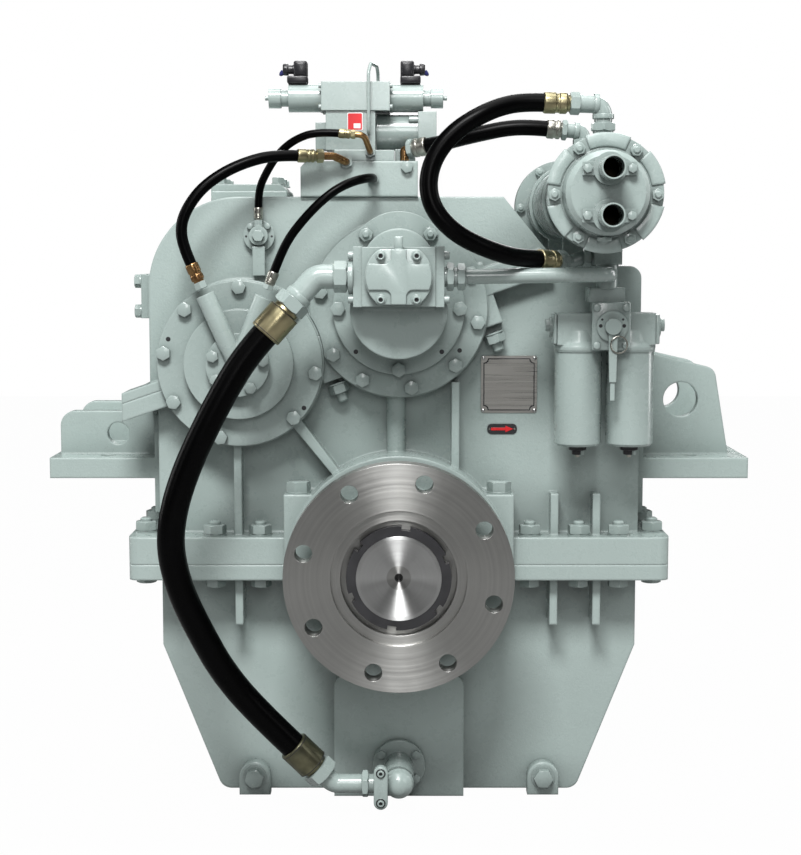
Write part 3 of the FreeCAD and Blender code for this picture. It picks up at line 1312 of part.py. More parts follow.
def leaving(end, distance):
    """The end point of a fitting and the next point straight on from it."""
    point, axis = end
    return [tuple(point), tuple(point + axis * distance)]


def tube(route, radius):
    """A bent metal pipe through the given points."""
    solid, _, _ = swept(route, radius)
    obj = doc.addObject("Part::Feature", fresh("pipe"))
    obj.Shape = solid
    return obj


def between(start, stop, radius, kind=None):
    """A straight rod or hexagon from one point to another."""
    axis = V(*stop) - V(*start)
    shape = hexagon if kind == "hex" else cylinder
    return shape(radius, axis.Length, start[0], start[1], start[2],
                 FreeCAD.Rotation(V(0, 0, 1), axis))


def make_elbows(ends):
    """Cast elbows at the pump inlet and the sump, the delivery pipe and the cooler elbows."""
    inlet_z = num(S.pump_z)
    face = -(num(S.pump_half) + 15)
    point, axis = ends["suction", False]
    elbow = point + axis * ((inlet_z - point.z) / axis.z)
    turn_x, port_y = elbow.x, elbow.y
    inlet = [between(point, elbow, 21), ball(27, turn_x, port_y, inlet_z),
             between((turn_x, port_y, inlet_z), (face, port_y, inlet_z), 21),
             between((face - 34, port_y, inlet_z), (face - 10, port_y, inlet_z), 27, "hex"),
             between((face - 9, port_y, inlet_z), (face, port_y, inlet_z), 30)]
    low_z = num(S.suction_z)
    wall_y = num(S.bump_front_y)
    point, axis = ends["suction", True]
    elbow = point + axis * ((low_z - point.z) / axis.z)
    corner, low_y = elbow.x, elbow.y
    outlet = [between(point, elbow, 17), ball(19, corner, low_y, low_z),
              between((corner, low_y, low_z), (0, low_y, low_z), 17),
              between((-66, low_y, low_z), (-54, low_y, low_z), 25, "hex"),
              box((-42, -29.5), (low_y - 24, low_y + 24), (low_z - 43, low_z + 43)),
              box((-29, -17), (low_y - 24, low_y + 24), (low_z - 43, low_z + 43)),
              ball(27, 0, low_y, low_z),
              between((0, low_y, low_z), (0, wall_y, low_z), 27),
              between((0, wall_y - 13, low_z), (0, wall_y, low_z), 49)]
    group([fuse(inlet), fuse(outlet)], "suction_elbows")
    fx = num(S.filter_x)
    stack_y = num(S.filter_y) - 20
    pump_y = 15
    start = -face
    delivery = [tube([(start + 37, pump_y, inlet_z), (230, pump_y, inlet_z + 2),
                      (fx, pump_y, inlet_z + 4), (fx, stack_y - 18.4, inlet_z + 4)], 13),
                between((start, pump_y, inlet_z), (start + 37, pump_y, inlet_z), 17),
                between((start + 8, pump_y, inlet_z), (start + 16, pump_y, inlet_z), 24, "hex"),
                between((start + 24, pump_y, inlet_z), (start + 36, pump_y, inlet_z), 23, "hex")]
    cx, cz = num(S.cooler_x), num(S.cooler_z) + num(S.cooler_radius)
    elbows = []
    for word, neck_x, low, radius in (("front", cx, cz + 32, 16), ("rear", cx - 16, cz + 16, 14)):
        point, axis = ends[word, False]
        corner = point + axis * ((neck_x - point.x) / axis.x)
        foot = (corner.x, corner.y, low)
        elbows.append(fuse([between(foot, corner, radius), ball(radius + 3, *corner),
                            between(point, corner, radius - 1),
                            between(foot, (corner.x, corner.y, low + 14), radius + 6, "hex")]))
    block_left, block_z = fx - 24, num(S.filter_head_z) + 126
    tee_pipe = tube(leaving(ends["front", True], 14) + [(block_left - 20, stack_y, block_z),
                                                        (block_left, stack_y, block_z)], 12)
    tee_nut = between((block_left - 16, stack_y, block_z), (block_left - 4, stack_y, block_z), 19, "hex")
    sensing = tube([(-54, 199.7, 772), (-54, 186, 772), (-54, 184, 790), (-54, 184, 878), (-50, 200, 896),
                    (-40, 240, 894), (-38, 262, 884), (-38, 262, 863)], 3)
    group([fuse(delivery), fuse([tee_pipe, tee_nut])] + elbows + [sensing], "oil_pipes")


make_inspection_covers()
cooler_bolts = make_cooler()
make_filter()
make_valve()
make_elbows(make_pipes())
group(cover_pieces + cooler_bolts + screw_pieces, "cover_fasteners")


def check_and_export():
    """Stops on any failed object, then writes one STEP file for each node."""
    doc.recompute()
    for obj in doc.Objects:
        if "Invalid" in obj.State or "Error" in obj.State:
            raise RuntimeError(f"{obj.Name} ({obj.Label}) failed: {obj.State}")
    os.makedirs("parts", exist_ok=True)
    for obj in nodes:
        shape = obj.Shape
        if shape.isNull() or not shape.isValid():
            raise RuntimeError(f"{obj.Label} has no valid shape")
        shape.exportStep(f"parts/{obj.Label}.step")
        print(f"{obj.Label}: {len(shape.Solids)} solids, {shape.Volume / 1000:.0f} cm3")


check_and_export()
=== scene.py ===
"""Finish of a ship's reversing reduction gearbox: enamelled castings, turned steel, hoses and screws.

Sizes are in millimetres in the part's frame and become metres when a mesh is made.
-Y points out of the output flange, +Z is up and +X is to the right of the picture.
"""
import math

import bmesh
import bpy
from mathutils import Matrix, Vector


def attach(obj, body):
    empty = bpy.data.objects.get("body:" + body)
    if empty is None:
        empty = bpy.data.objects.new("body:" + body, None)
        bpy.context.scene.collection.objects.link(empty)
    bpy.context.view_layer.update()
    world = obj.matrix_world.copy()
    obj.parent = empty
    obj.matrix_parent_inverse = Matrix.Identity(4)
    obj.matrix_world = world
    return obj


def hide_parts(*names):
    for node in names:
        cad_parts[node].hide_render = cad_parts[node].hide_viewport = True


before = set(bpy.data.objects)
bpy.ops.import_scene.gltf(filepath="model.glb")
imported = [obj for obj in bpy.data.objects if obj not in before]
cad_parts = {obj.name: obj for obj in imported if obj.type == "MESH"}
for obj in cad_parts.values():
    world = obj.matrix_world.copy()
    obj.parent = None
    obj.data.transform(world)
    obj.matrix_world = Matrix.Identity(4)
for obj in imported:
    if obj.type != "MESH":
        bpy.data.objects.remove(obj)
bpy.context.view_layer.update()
MM = 0.001
ORIGIN = (0, 0, 0)
LEFT, RIGHT = (-1, 0, 0), (1, 0, 0)
FRONT, BACK = (0, -1, 0), (0, 1, 0)
DOWN, UP = (0, 0, -1), (0, 0, 1)
# Axes of the input shaft, the countershaft and the cooler, as X and Z.
INPUT = (0.0, 460.0)
COUNTER = (-283.6, 362.17)
COOLER = (341.0, 656.0)
# Heights and places that more than one piece keeps to.
PUMP_Z = 518.0
FILTER_X = 362.0
WALL_Y = 195.0
# Clock positions of the bolts on the cooler's flanges, in degrees.
COOLER_BOLTS = (122, 55, -2, -62, -122, 182)
# Points round the outline of a hexagon, and the angles above which an edge is kept sharp.
HEX_POINTS = 24
PIECE_SHARP = 35
FASTENER_SHARP = 30
# The viewpoint in metres and degrees, the lens in millimetres.
EYE = (0.003, -2.8, 0.553)
PITCH = 5.927
LENS, SENSOR = 69.56, 36
# The floor's height in metres, and how much of the camera's view of it is plain white.
FLOOR = -0.4463
FLOOR_GLOW = 0.985


def in_scene(name, data):
    """A new object in the scene that holds the given data."""
    obj = bpy.data.objects.new(name, data)
    bpy.context.scene.collection.objects.link(obj)
    return obj


def settle(obj, body="housing", replaces=()):
    """Puts a piece on its body, in place of the nodes that it replaces."""
    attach(obj, body)
    if replaces:
        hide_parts(*replaces)


def camera():
    """The picture's own viewpoint: in front of the output flange, a little above the shaft."""
    data = bpy.data.cameras.new("viewpoint")
    data.lens = LENS
    data.sensor_width = SENSOR
    eye = in_scene("viewpoint", data)
    eye.location = EYE
    eye.rotation_euler = (math.radians(90 - PITCH), 0, 0)
    bpy.context.scene.camera = eye


def group_tree(name, inputs, outputs):
    """An empty shader group with named sockets, its input node and its output node."""
    tree = bpy.data.node_groups.new(name, "ShaderNodeTree")
    for label, kind, value in inputs:
        socket = tree.interface.new_socket(label, in_out="INPUT", socket_type="NodeSocket" + kind)
        if value is not None:
            socket.default_value = value
    for label, kind in outputs:
        tree.interface.new_socket(label, in_out="OUTPUT", socket_type="NodeSocket" + kind)
    return tree, tree.nodes.new("NodeGroupInput"), tree.nodes.new("NodeGroupOutput")


def noise(tree, vector, scale, detail=3.0, rough=0.5):
    """A noise node on the given coordinates."""
    node = tree.nodes.new("ShaderNodeTexNoise")
    node.inputs["Scale"].default_value = scale
    node.inputs["Detail"].default_value = detail
    node.inputs["Roughness"].default_value = rough
    tree.links.new(vector, node.inputs["Vector"])
    return node.outputs["Fac"]


def ramp(tree, value, low, high, to_low=0.0, to_high=1.0):
    """Maps a value from one range to another, clamped."""
    node = tree.nodes.new("ShaderNodeMapRange")
    for label, number in (("From Min", low), ("From Max", high), ("To Min", to_low), ("To Max", to_high)):
        node.inputs[label].default_value = number
    tree.links.new(value, node.inputs["Value"])
    return node.outputs["Result"]


def maths(tree, operation, first, second=None):
    """A maths node on two sockets or numbers."""
    node = tree.nodes.new("ShaderNodeMath")
    node.operation = operation
    for index, item in enumerate((first, second)):
        if item is None:
            continue
        if isinstance(item, (int, float)):
            node.inputs[index].default_value = item
        else:
            tree.links.new(item, node.inputs[index])
    return node.outputs[0]


def blend(tree, amount, first, second):
    """A colour mix; each colour is a socket or four numbers."""
    node = tree.nodes.new("ShaderNodeMix")
    node.data_type = "RGBA"
    for label, item in (("Factor", amount), ("A", first), ("B", second)):
        socket = [s for s in node.inputs if s.name == label and (label == "Factor" or s.type == "RGBA")][0]
        if isinstance(item, (int, float, tuple)):
            socket.default_value = item
        else:
            tree.links.new(item, socket)
    return [s for s in node.outputs if s.type == "RGBA"][0]


def off_axis(tree, vector):
    """A point's distance from the Y axis, and its place along that axis."""
    split = tree.nodes.new("ShaderNodeSeparateXYZ")
    tree.links.new(vector, split.inputs[0])
    x, y, z = split.outputs
    square = maths(tree, "ADD", maths(tree, "MULTIPLY", x, x), maths(tree, "MULTIPLY", z, z))
    return maths(tree, "SQRT", square), y


def rgba(tint, factor=1.0, lift=0.0):
    """A tint made darker or lighter, with full opacity."""
    return tuple(min(1.0, c * factor + lift) for c in tint) + (1.0,)


def rounded_edges_group():
    """Edges seen as if rounded by the founder: a softened normal and a mask of those edges."""
    tree, given, made = group_tree("rounded_edges", [("Radius", "Float", 0.003)],
                                   [("Normal", "Vector"), ("Edge", "Float")])
    soft = tree.nodes.new("ShaderNodeBevel")
    soft.samples = 6
    tree.links.new(given.outputs["Radius"], soft.inputs["Radius"])
    flat = tree.nodes.new("ShaderNodeNewGeometry")
    dot = tree.nodes.new("ShaderNodeVectorMath")
    dot.operation = "DOT_PRODUCT"
    tree.links.new(soft.outputs["Normal"], dot.inputs[0])
    tree.links.new(flat.outputs["Normal"], dot.inputs[1])
    tree.links.new(soft.outputs["Normal"], made.inputs["Normal"])
    tree.links.new(ramp(tree, dot.outputs["Value"], 0.98, 0.75), made.inputs["Edge"])
    return tree


def corner_shade_group():
    """How deep in a corner a point lies, as a mask for painted shade in corners and recesses."""
    tree, given, made = group_tree("corner_shade", [("Reach", "Float", 0.08)], [("Mask", "Float")])
    near = tree.nodes.new("ShaderNodeAmbientOcclusion")
    near.samples = 8
    tree.links.new(given.outputs["Reach"], near.inputs["Distance"])
    tree.links.new(ramp(tree, near.outputs["AO"], 0.92, 0.3), made.inputs["Mask"])
    return tree


def cast_skin_group():
    """The skin of a sand casting under enamel: slow swells, sand grain and orange peel."""
    tree, given, made = group_tree("cast_skin", [("Vector", "Vector", None), ("Grain", "Float", 1.0)],
                                   [("Height", "Float"), ("Tone", "Float"), ("Gloss", "Float")])
    where, grain = given.outputs["Vector"], given.outputs["Grain"]
    swell = noise(tree, where, 14.0, 3.0)
    sand = noise(tree, where, 260.0, 4.0, 0.6)
    peel = noise(tree, where, 900.0, 1.0)
    rough_sand = maths(tree, "MULTIPLY", sand, grain)
    height = maths(tree, "ADD", maths(tree, "MULTIPLY", swell, 1.4), rough_sand)
    height = maths(tree, "ADD", height, maths(tree, "MULTIPLY", peel, 0.12))
    tree.links.new(height, made.inputs["Height"])
    cloud = noise(tree, where, 5.0, 4.0, 0.55)
    tree.links.new(ramp(tree, cloud, 0.3, 0.7), made.inputs["Tone"])
    streak = noise(tree, where, 38.0, 5.0, 0.65)
    tree.links.new(ramp(tree, streak, 0.35, 0.7), made.inputs["Gloss"])
    return tree


def turned_rings_group():
    """Fine rings left by a lathe that turned the piece about the Y axis."""
    tree, given, made = group_tree("turned_rings",
                                   [("Vector", "Vector", None), ("Pitch", "Float", 900.0)],
                                   [("Height", "Float"), ("Tone", "Float")])
    radius, y = off_axis(tree, given.outputs["Vector"])
    along = maths(tree, "ADD", radius, maths(tree, "MULTIPLY", y, 0.7))
    rings = tree.nodes.new("ShaderNodeTexNoise")
    rings.noise_dimensions = "1D"
    rings.inputs["Detail"].default_value = 3
    rings.inputs["Scale"].default_value = 1.0
    tree.links.new(maths(tree, "MULTIPLY", along, given.outputs["Pitch"]), rings.inputs["W"])
    tree.links.new(rings.outputs["Fac"], made.inputs["Height"])
    broad = tree.nodes.new("ShaderNodeTexNoise")
    broad.noise_dimensions = "1D"
    broad.inputs["Scale"].default_value = 1.0
    tree.links.new(maths(tree, "MULTIPLY", along, 160.0), broad.inputs["W"])
    patch = noise(tree, given.outputs["Vector"], 22.0, 3.0)
    both = maths(tree, "MULTIPLY", broad.outputs["Fac"], ramp(tree, patch, 0.3, 0.7, 0.6, 1.0))
    tree.links.new(both, made.inputs["Tone"])
    return tree


EDGES = rounded_edges_group()
CORNER_SHADE = corner_shade_group()
SKIN = cast_skin_group()
RINGS = turned_rings_group()


def start_material(name, rough, metal=0.0, coat=0.0, specular=0.5):
    """A material with a Principled surface; returns it, its tree, the surface and Object coordinates."""
    mat = bpy.data.materials.new(name)
    mat.use_nodes = True
    tree = mat.node_tree
    surface = tree.nodes["Principled BSDF"]
    surface.inputs["Roughness"].default_value = rough
    surface.inputs["Metallic"].default_value = metal
    surface.inputs["Coat Weight"].default_value = coat
    surface.inputs["Coat Roughness"].default_value = 0.16
    surface.inputs["Specular IOR Level"].default_value = specular
    place = tree.nodes.new("ShaderNodeTexCoord")
    return mat, tree, surface, place.outputs["Object"]


def use_group(tree, group, **values):
    """A group node with its values or links set by name."""
    node = tree.nodes.new("ShaderNodeGroup")
    node.node_tree = group
    for label, item in values.items():
        if isinstance(item, (int, float)):
            node.inputs[label].default_value = item
        else:
            tree.links.new(item, node.inputs[label])
    return node


def bump(tree, surface, height, strength, distance, normal=None):
    """A bump on the surface's normal."""
    node = tree.nodes.new("ShaderNodeBump")
    node.inputs["Strength"].default_value = strength
    node.inputs["Distance"].default_value = distance
    tree.links.new(height, node.inputs["Height"])
    if normal is not None:
        tree.links.new(normal, node.inputs["Normal"])
    tree.links.new(node.outputs["Normal"], surface.inputs["Normal"])


def enamel(name, tint, grain, edge, depth, rough):
    """Grey-green enamel, thin and lighter on the edges, with the casting's skin under it and painted shade
    darkening it in corners and recesses.
    """
    mat, tree, surface, where = start_material(name, rough, coat=0.45)
    skin = use_group(tree, SKIN, Vector=where, Grain=grain)
    soft = use_group(tree, EDGES, Radius=edge)
    corner_shade_mask = use_group(tree, CORNER_SHADE, Reach=0.1)
    colour = blend(tree, skin.outputs["Tone"], rgba(tint, 0.97), rgba(tint, 1.02))
    painted_shade_amount = maths(tree, "MULTIPLY", corner_shade_mask.outputs["Mask"], 0.62)
    # Painted shade: the enamel darkens towards a third of its tint where the corner mask is deep.
    colour = blend(tree, painted_shade_amount, colour, rgba(tint, 0.3))
    thin = maths(tree, "MULTIPLY", soft.outputs["Edge"], 0.4)
    tree.links.new(blend(tree, thin, colour, rgba(tint, 1.22)), surface.inputs["Base Color"])
    tree.links.new(ramp(tree, skin.outputs["Gloss"], 0.0, 1.0, rough - 0.05, rough + 0.12),
                   surface.inputs["Roughness"])
    bump(tree, surface, skin.outputs["Height"], 0.45, depth, soft.outputs["Normal"])
    return mat


def bare_metal(name, tint, rough, edge, pitch=None, twist=0.0, scratch=0.3, cloud=0.12):
    """Bare metal: turned rings where it came off a lathe, fine scratches elsewhere."""
    mat, tree, surface, where = start_material(name, rough, metal=1.0)
    soft = use_group(tree, EDGES, Radius=edge)
    if pitch:
        rings = use_group(tree, RINGS, Vector=where, Pitch=pitch)
        height, tone = rings.outputs["Height"], rings.outputs["Tone"]
        surface.inputs["Anisotropic"].default_value = twist
        surface.inputs["Anisotropic Rotation"].default_value = 0.25
        tangent = tree.nodes.new("ShaderNodeTangent")
        tangent.direction_type = "RADIAL"
        tangent.axis = "Y"
        tree.links.new(tangent.outputs[0], surface.inputs["Tangent"])
    else:
        height = noise(tree, where, 700.0, 4.0, 0.6)
        tone = noise(tree, where, 45.0, 4.0, 0.6)
    colour = blend(tree, ramp(tree, tone, 0.25, 0.6), rgba(tint, 1 - cloud), rgba(tint, 1 + cloud / 2))
    tree.links.new(colour, surface.inputs["Base Color"])
    tree.links.new(ramp(tree, tone, 0.2, 0.8, rough - 0.04, rough + 0.06), surface.inputs["Roughness"])
    bump(tree, surface, height, scratch, 0.00006, soft.outputs["Normal"])
    return mat


def centre_drilled(mat, hole, mouth):
    """The centre hole in a shaft's end, painted on: the countersink as a flat grey ring that stands in for
    the light on its slope, and the drilling as black painted shade.
    """
    tree = mat.node_tree
    surface = tree.nodes["Principled BSDF"]
    place = tree.nodes.new("ShaderNodeTexCoord")
    radius, _ = off_axis(tree, place.outputs["Object"])
    colour = surface.inputs["Base Color"].links[0].from_socket
    # Painted light: a flat grey ring for the countersink's slope, and a black disc of painted shade for the
    # drilling.
    sink = ramp(tree, radius, mouth * 0.985, mouth * 1.015)
    colour = blend(tree, sink, (0.36, 0.36, 0.35, 1.0), colour)
    painted_hole_shade = ramp(tree, radius, hole * 0.95, hole * 1.05)
    tree.links.new(blend(tree, painted_hole_shade, (0.004, 0.004, 0.004, 1.0), colour), surface.inputs["Base Color"])
    tree.links.new(painted_hole_shade, surface.inputs["Metallic"])
    return mat


def plated(name, tint, second, rough=0.3):
    """Plated or drawn metal with a cloudy second tone."""
    mat, tree, surface, where = start_material(name, rough, metal=1.0)
    cloud = ramp(tree, noise(tree, where, 34.0, 2.0), 0.35, 0.65)
    tree.links.new(blend(tree, cloud, rgba(tint), rgba(second)), surface.inputs["Base Color"])
    tree.links.new(ramp(tree, noise(tree, where, 60.0, 3.0), 0.3, 0.7, rough - 0.03, rough + 0.05),
                   surface.inputs["Roughness"])
    bump(tree, surface, noise(tree, where, 500.0, 2.0), 0.04, 0.00002)
    return mat


def rubber(name):
    """Hose cover: black rubber that kept the weave of the cloth it was cured in."""
    mat, tree, surface, where = start_material(name, 0.3, specular=0.07)
    dust = ramp(tree, noise(tree, where, 16.0, 5.0, 0.65), 0.5, 0.8)
    tree.links.new(blend(tree, maths(tree, "MULTIPLY", dust, 0.35), (0.0004, 0.0004, 0.0005, 1.0),
                         (0.0026, 0.0026, 0.003, 1.0)), surface.inputs["Base Color"])
    weave = noise(tree, where, 1300.0, 2.0)
    tree.links.new(ramp(tree, weave, 0.3, 0.7, 0.26, 0.38), surface.inputs["Roughness"])
    bump(tree, surface, weave, 0.15, 0.0001)
    return mat


def moulded(name, tint, rough):
    """Moulded plastic or paint with a fine even grain."""
    mat, tree, surface, where = start_material(name, rough)
    tone = ramp(tree, noise(tree, where, 30.0, 3.0), 0.35, 0.7)
    tree.links.new(blend(tree, tone, rgba(tint), rgba(tint, 1.35, 0.004)), surface.inputs["Base Color"])
    bump(tree, surface, noise(tree, where, 700.0, 2.0), 0.25, 0.0001,
         use_group(tree, EDGES, Radius=0.0006).outputs["Normal"])
    return mat


def brushed(name, tint, rough):
    """Plate metal brushed from side to side, with the brush lines along X."""
    mat, tree, surface, where = start_material(name, rough, metal=1.0)
    stretch = tree.nodes.new("ShaderNodeMapping")
    stretch.inputs["Scale"].default_value = (6.0, 300.0, 1500.0)
    tree.links.new(where, stretch.inputs["Vector"])
    line = noise(tree, stretch.outputs["Vector"], 1.0, 2.0)
    tree.links.new(blend(tree, line, rgba(tint, 0.94), rgba(tint)), surface.inputs["Base Color"])
    tree.links.new(ramp(tree, line, 0.3, 0.7, rough - 0.06, rough + 0.1), surface.inputs["Roughness"])
    bump(tree, surface, line, 0.08, 0.00002)
    return mat


GREEN = (0.392, 0.472, 0.45)
CAST = enamel("cast_enamel", GREEN, 1.0, 0.0055, 0.0009, 0.28)
SMOOTH = enamel("machined_enamel", tuple(c * 0.94 for c in GREEN), 0.5, 0.0024, 0.0005, 0.25)
FITTING = enamel("fitting_enamel", tuple(c * 0.88 for c in GREEN), 0.2, 0.0009, 0.0002, 0.24)
TURNED = bare_metal("turned_steel", (0.4, 0.4, 0.385), 0.36, 0.0012, 900.0, 0.82, 0.1, 0.1)
CONE = centre_drilled(bare_metal("shaft_end_steel", (0.5, 0.505, 0.5), 0.35, 0.0008, 1400.0, 1.0, 0.06, 0.05),
                      0.0075, 0.021)
GROUND = bare_metal("ground_steel", (0.5, 0.5, 0.5), 0.28, 0.0006)
BLACKED = moulded("blacked_steel", (0.02, 0.02, 0.022), 0.36)
GOLD = plated("yellow_zinc", (0.42, 0.37, 0.22), (0.30, 0.27, 0.16))
OLIVE = plated("olive_zinc", (0.22, 0.21, 0.13), (0.12, 0.12, 0.08), 0.34)
SILVER = plated("bright_zinc", (0.47, 0.465, 0.42), (0.36, 0.35, 0.31))
COPPER = plated("bent_copper", (0.38, 0.23, 0.10), (0.24, 0.13, 0.06), 0.28)
HOSE = rubber("hose_cover")
BLACK = moulded("black_moulding", (0.012, 0.012, 0.014), 0.3)
BLUE = moulded("blue_wire", (0.012, 0.014, 0.085), 0.4)
RED = moulded("red_paint", (0.62, 0.015, 0.02), 0.35)
WHITE = moulded("white_label", (0.8, 0.8, 0.8), 0.4)
PAPER = moulded("filter_paper", (0.6, 0.5, 0.32), 0.85)
LINING = moulded("friction_lining", (0.13, 0.1, 0.07), 0.8)
# Brass of the cooler's tube bundle, painted near black as the shade inside its water ports.
SHADED_BRASS = plated("brass_darkened_as_shade", (0.022, 0.018, 0.012), (0.014, 0.012, 0.008), 0.5)
PLATE = brushed("name_plate_metal", (0.52, 0.51, 0.48), 0.3)


def basis(axis):
    """Two unit vectors square to an axis, and the axis itself."""
    w = Vector(axis).normalized()
    side = Vector((0, 0, 1)) if abs(w.z) < 0.9 else Vector((0, 1, 0))
    u = side.cross(w).normalized()
    return u, w.cross(u), w


def rounded(profile, radius):
    """A profile of (distance, radius) points with its corners eased."""
    steps = 3
    points = [Vector(p) for p in profile]
    out = [points[0]]
    for before, corner, after in zip(points, points[1:], points[2:]):
        back, on = before - corner, after - corner
        reach = min(radius, back.length * 0.45, on.length * 0.45)
        if reach < 1e-3 or abs(back.normalized().dot(on.normalized())) > 0.995:
            out.append(corner)
            continue
        a, b = corner + back.normalized() * reach, corner + on.normalized() * reach
        for k in range(steps + 1):
            t = k / steps
            out.append(a * (1 - t) ** 2 + corner * 2 * t * (1 - t) + b * t * t)
    out.append(points[-1])
    return [(p.x, p.y) for p in out]


class Shape:
    """Closed parts gathered in millimetres, each with a mark: the number of its material slot."""

    def __init__(self):
        self.verts, self.faces, self.marks = [], [], []

    def take(self, part, mark=0):
        """Adds a bmesh part with its faces turned outwards."""
        bmesh.ops.recalc_face_normals(part, faces=part.faces)
        base = len(self.verts)
        part.verts.index_update()
        self.verts += [tuple(v.co) for v in part.verts]
        for face in part.faces:
            self.faces.append([base + v.index for v in face.verts])
            self.marks.append(mark)
        part.free()

    def lathe(self, profile, at, axis, mark=0, steps=40, ease=0.0):
        """A solid of revolution from (distance along the axis, radius) points."""
        if ease:
            profile = rounded(profile, ease)
        u, v, w = basis(axis)
        at = Vector(at)
        part = bmesh.new()
        rings = []
        for distance, radius in profile:
            if radius < 1e-4:
                rings.append([part.verts.new(at + w * distance)])
                continue
            ring = []
            for k in range(steps):
                a = 2 * math.pi * k / steps
                ring.append(part.verts.new(at + w * distance + (u * math.cos(a) + v * math.sin(a)) * radius))
            rings.append(ring)
        for low, high in zip(rings, rings[1:]):
            for k in range(steps):
                quad = [low[k % len(low)], low[(k + 1) % len(low)],
                        high[(k + 1) % len(high)], high[k % len(high)]]
                quad = list(dict.fromkeys(quad))
                if len(quad) > 2:
                    part.faces.new(quad)
        for ring in (rings[0], rings[-1]):
            if len(ring) > 2:
                part.faces.new(ring)
        self.take(part, mark)

    def drum(self, low, high, radius, at, axis, mark=0, steps=40, ease=0.0):
        """A plain cylinder between two distances along the axis."""
        self.lathe([(low, 0), (low, radius), (high, radius), (high, 0)], at, axis, mark, steps, ease)

    def hexagon(self, at, axis, flats, height, mark=0, both=False):
        """A hexagon with its corners turned off at the top, or at both ends."""
        u, v, w = basis(axis)
        at = Vector(at)
        part = bmesh.new()
        outline = []
        for k in range(HEX_POINTS):
            a = 2 * math.pi * k / HEX_POINTS
            off = (a + math.pi / 6) % (math.pi / 3) - math.pi / 6
            outline.append((a, flats / 2 / math.cos(off)))
        inner = flats / 2 * 0.95

        def drop(radius):
            return (radius - inner) * 0.5

        def ring(radii, levels):
            return [part.verts.new(at + w * z + (u * math.cos(a) + v * math.sin(a)) * r)
                    for (a, _), r, z in zip(outline, radii, levels)]

        sides = [r for _, r in outline]
        flat = [inner] * HEX_POINTS
        low = [drop(r) if both else 0.0 for r in sides]
        rings = [ring(flat, [0.0] * HEX_POINTS)] if both else []
        rings.append(ring(sides, low))
        rings.append(ring(sides, [height - drop(r) for r in sides]))
        rings.append(ring(flat, [height] * HEX_POINTS))
        self.skin(part, rings, mark)

    def skin(self, part, rings, mark):
        """Faces between rings of equal count, with a face on both ends."""
        count = len(rings[0])
        for a, b in zip(rings, rings[1:]):
            for k in range(count):
                part.faces.new([a[k], a[(k + 1) % count], b[(k + 1) % count], b[k]])
        part.faces.new(rings[0])
        part.faces.new(rings[-1])
        self.take(part, mark)

    def block(self, x, y, z, ease, steps):
        """A block between limits with rounded edges."""
        part = bmesh.new()
        corners = [part.verts.new((x[i], y[j], z[k])) for i in (0, 1) for j in (0, 1) for k in (0, 1)]
        for loop in ((0, 1, 3, 2), (4, 6, 7, 5), (0, 4, 5, 1), (2, 3, 7, 6), (0, 2, 6, 4), (1, 5, 7, 3)):
            part.faces.new([corners[i] for i in loop])
        bmesh.ops.bevel(part, geom=part.edges[:], offset=ease, segments=steps, affect="EDGES",
                        profile=0.5)
        self.take(part)

    def plate(self, outline, y0, y1, mark, ease, steps=2):
        """An outline in X and Z carried from y0 to y1, with its rims eased."""
        part = bmesh.new()
        front = [part.verts.new((x, y0, z)) for x, z in outline]
        face = part.faces.new(front)
        out = bmesh.ops.extrude_face_region(part, geom=[face])
        moved = [g for g in out["geom"] if isinstance(g, bmesh.types.BMVert)]
        bmesh.ops.translate(part, vec=(0, y1 - y0, 0), verts=moved)
        if ease:
            rims = [e for e in part.edges if abs(e.verts[0].co.y - e.verts[1].co.y) < 1e-6]
            bmesh.ops.bevel(part, geom=rims, offset=ease, segments=steps, affect="EDGES", profile=0.5)
        self.take(part, mark)

    def pipe(self, route, radius, mark, bend, steps=20):
        """A bent pipe: straight runs with bends of one radius."""
        points = [Vector(p) for p in route]
        line = [points[0]]
        for before, corner, after in zip(points, points[1:], points[2:]):
            a, b = (before - corner).normalized(), (after - corner).normalized()
            half = a.angle(b) / 2
            reach = min(bend / math.tan(half), (before - corner).length * 0.48,
                        (after - corner).length * 0.48)
            real = reach * math.tan(half)
            middle = corner + (a + b).normalized() * (real / math.sin(half))
            start, stop = corner + a * reach - middle, corner + b * reach - middle
            turn = math.pi - 2 * half
            count = max(3, int(turn / 0.16))
            for k in range(count + 1):
                f = k / count
                arm = start * math.sin((1 - f) * turn) + stop * math.sin(f * turn)
                line.append(middle + arm / max(math.sin(turn), 1e-6))
        line.append(points[-1])
        self.tube(line, radius, mark, steps)

    def tube(self, line, radius, mark, steps):
        """A round tube along close points."""
        part = bmesh.new()
        u, v, w = basis(line[1] - line[0])
        rings = []
        for i, point in enumerate(line):
            ahead = line[min(i + 1, len(line) - 1)] - line[max(i - 1, 0)]
            new = ahead.normalized()
            turn = w.rotation_difference(new)
            u, v, w = turn @ u, turn @ v, new
            rings.append([part.verts.new(Vector(point) + (u * math.cos(2 * math.pi * k / steps)
                                                          + v * math.sin(2 * math.pi * k / steps)) * radius)
                          for k in range(steps)])
        self.skin(part, rings, mark)

    def socket_screw(self, at, radius, height):
        """A socket cap screw that faces the front, with a disc in the second slot at the floor of its key
        hole, painted shade for the hole's depth.
        """
        floor = height - radius * 0.6
        self.lathe([(0, 0), (0, radius), (height - 1, radius), (height, radius - 1),
                    (height, radius * 0.56), (floor, radius * 0.52), (floor, 0)], at, FRONT, 0, 24)
        self.drum(0, 0.4, radius * 0.5, Vector(at) + Vector(FRONT) * floor, FRONT, 1, 6)

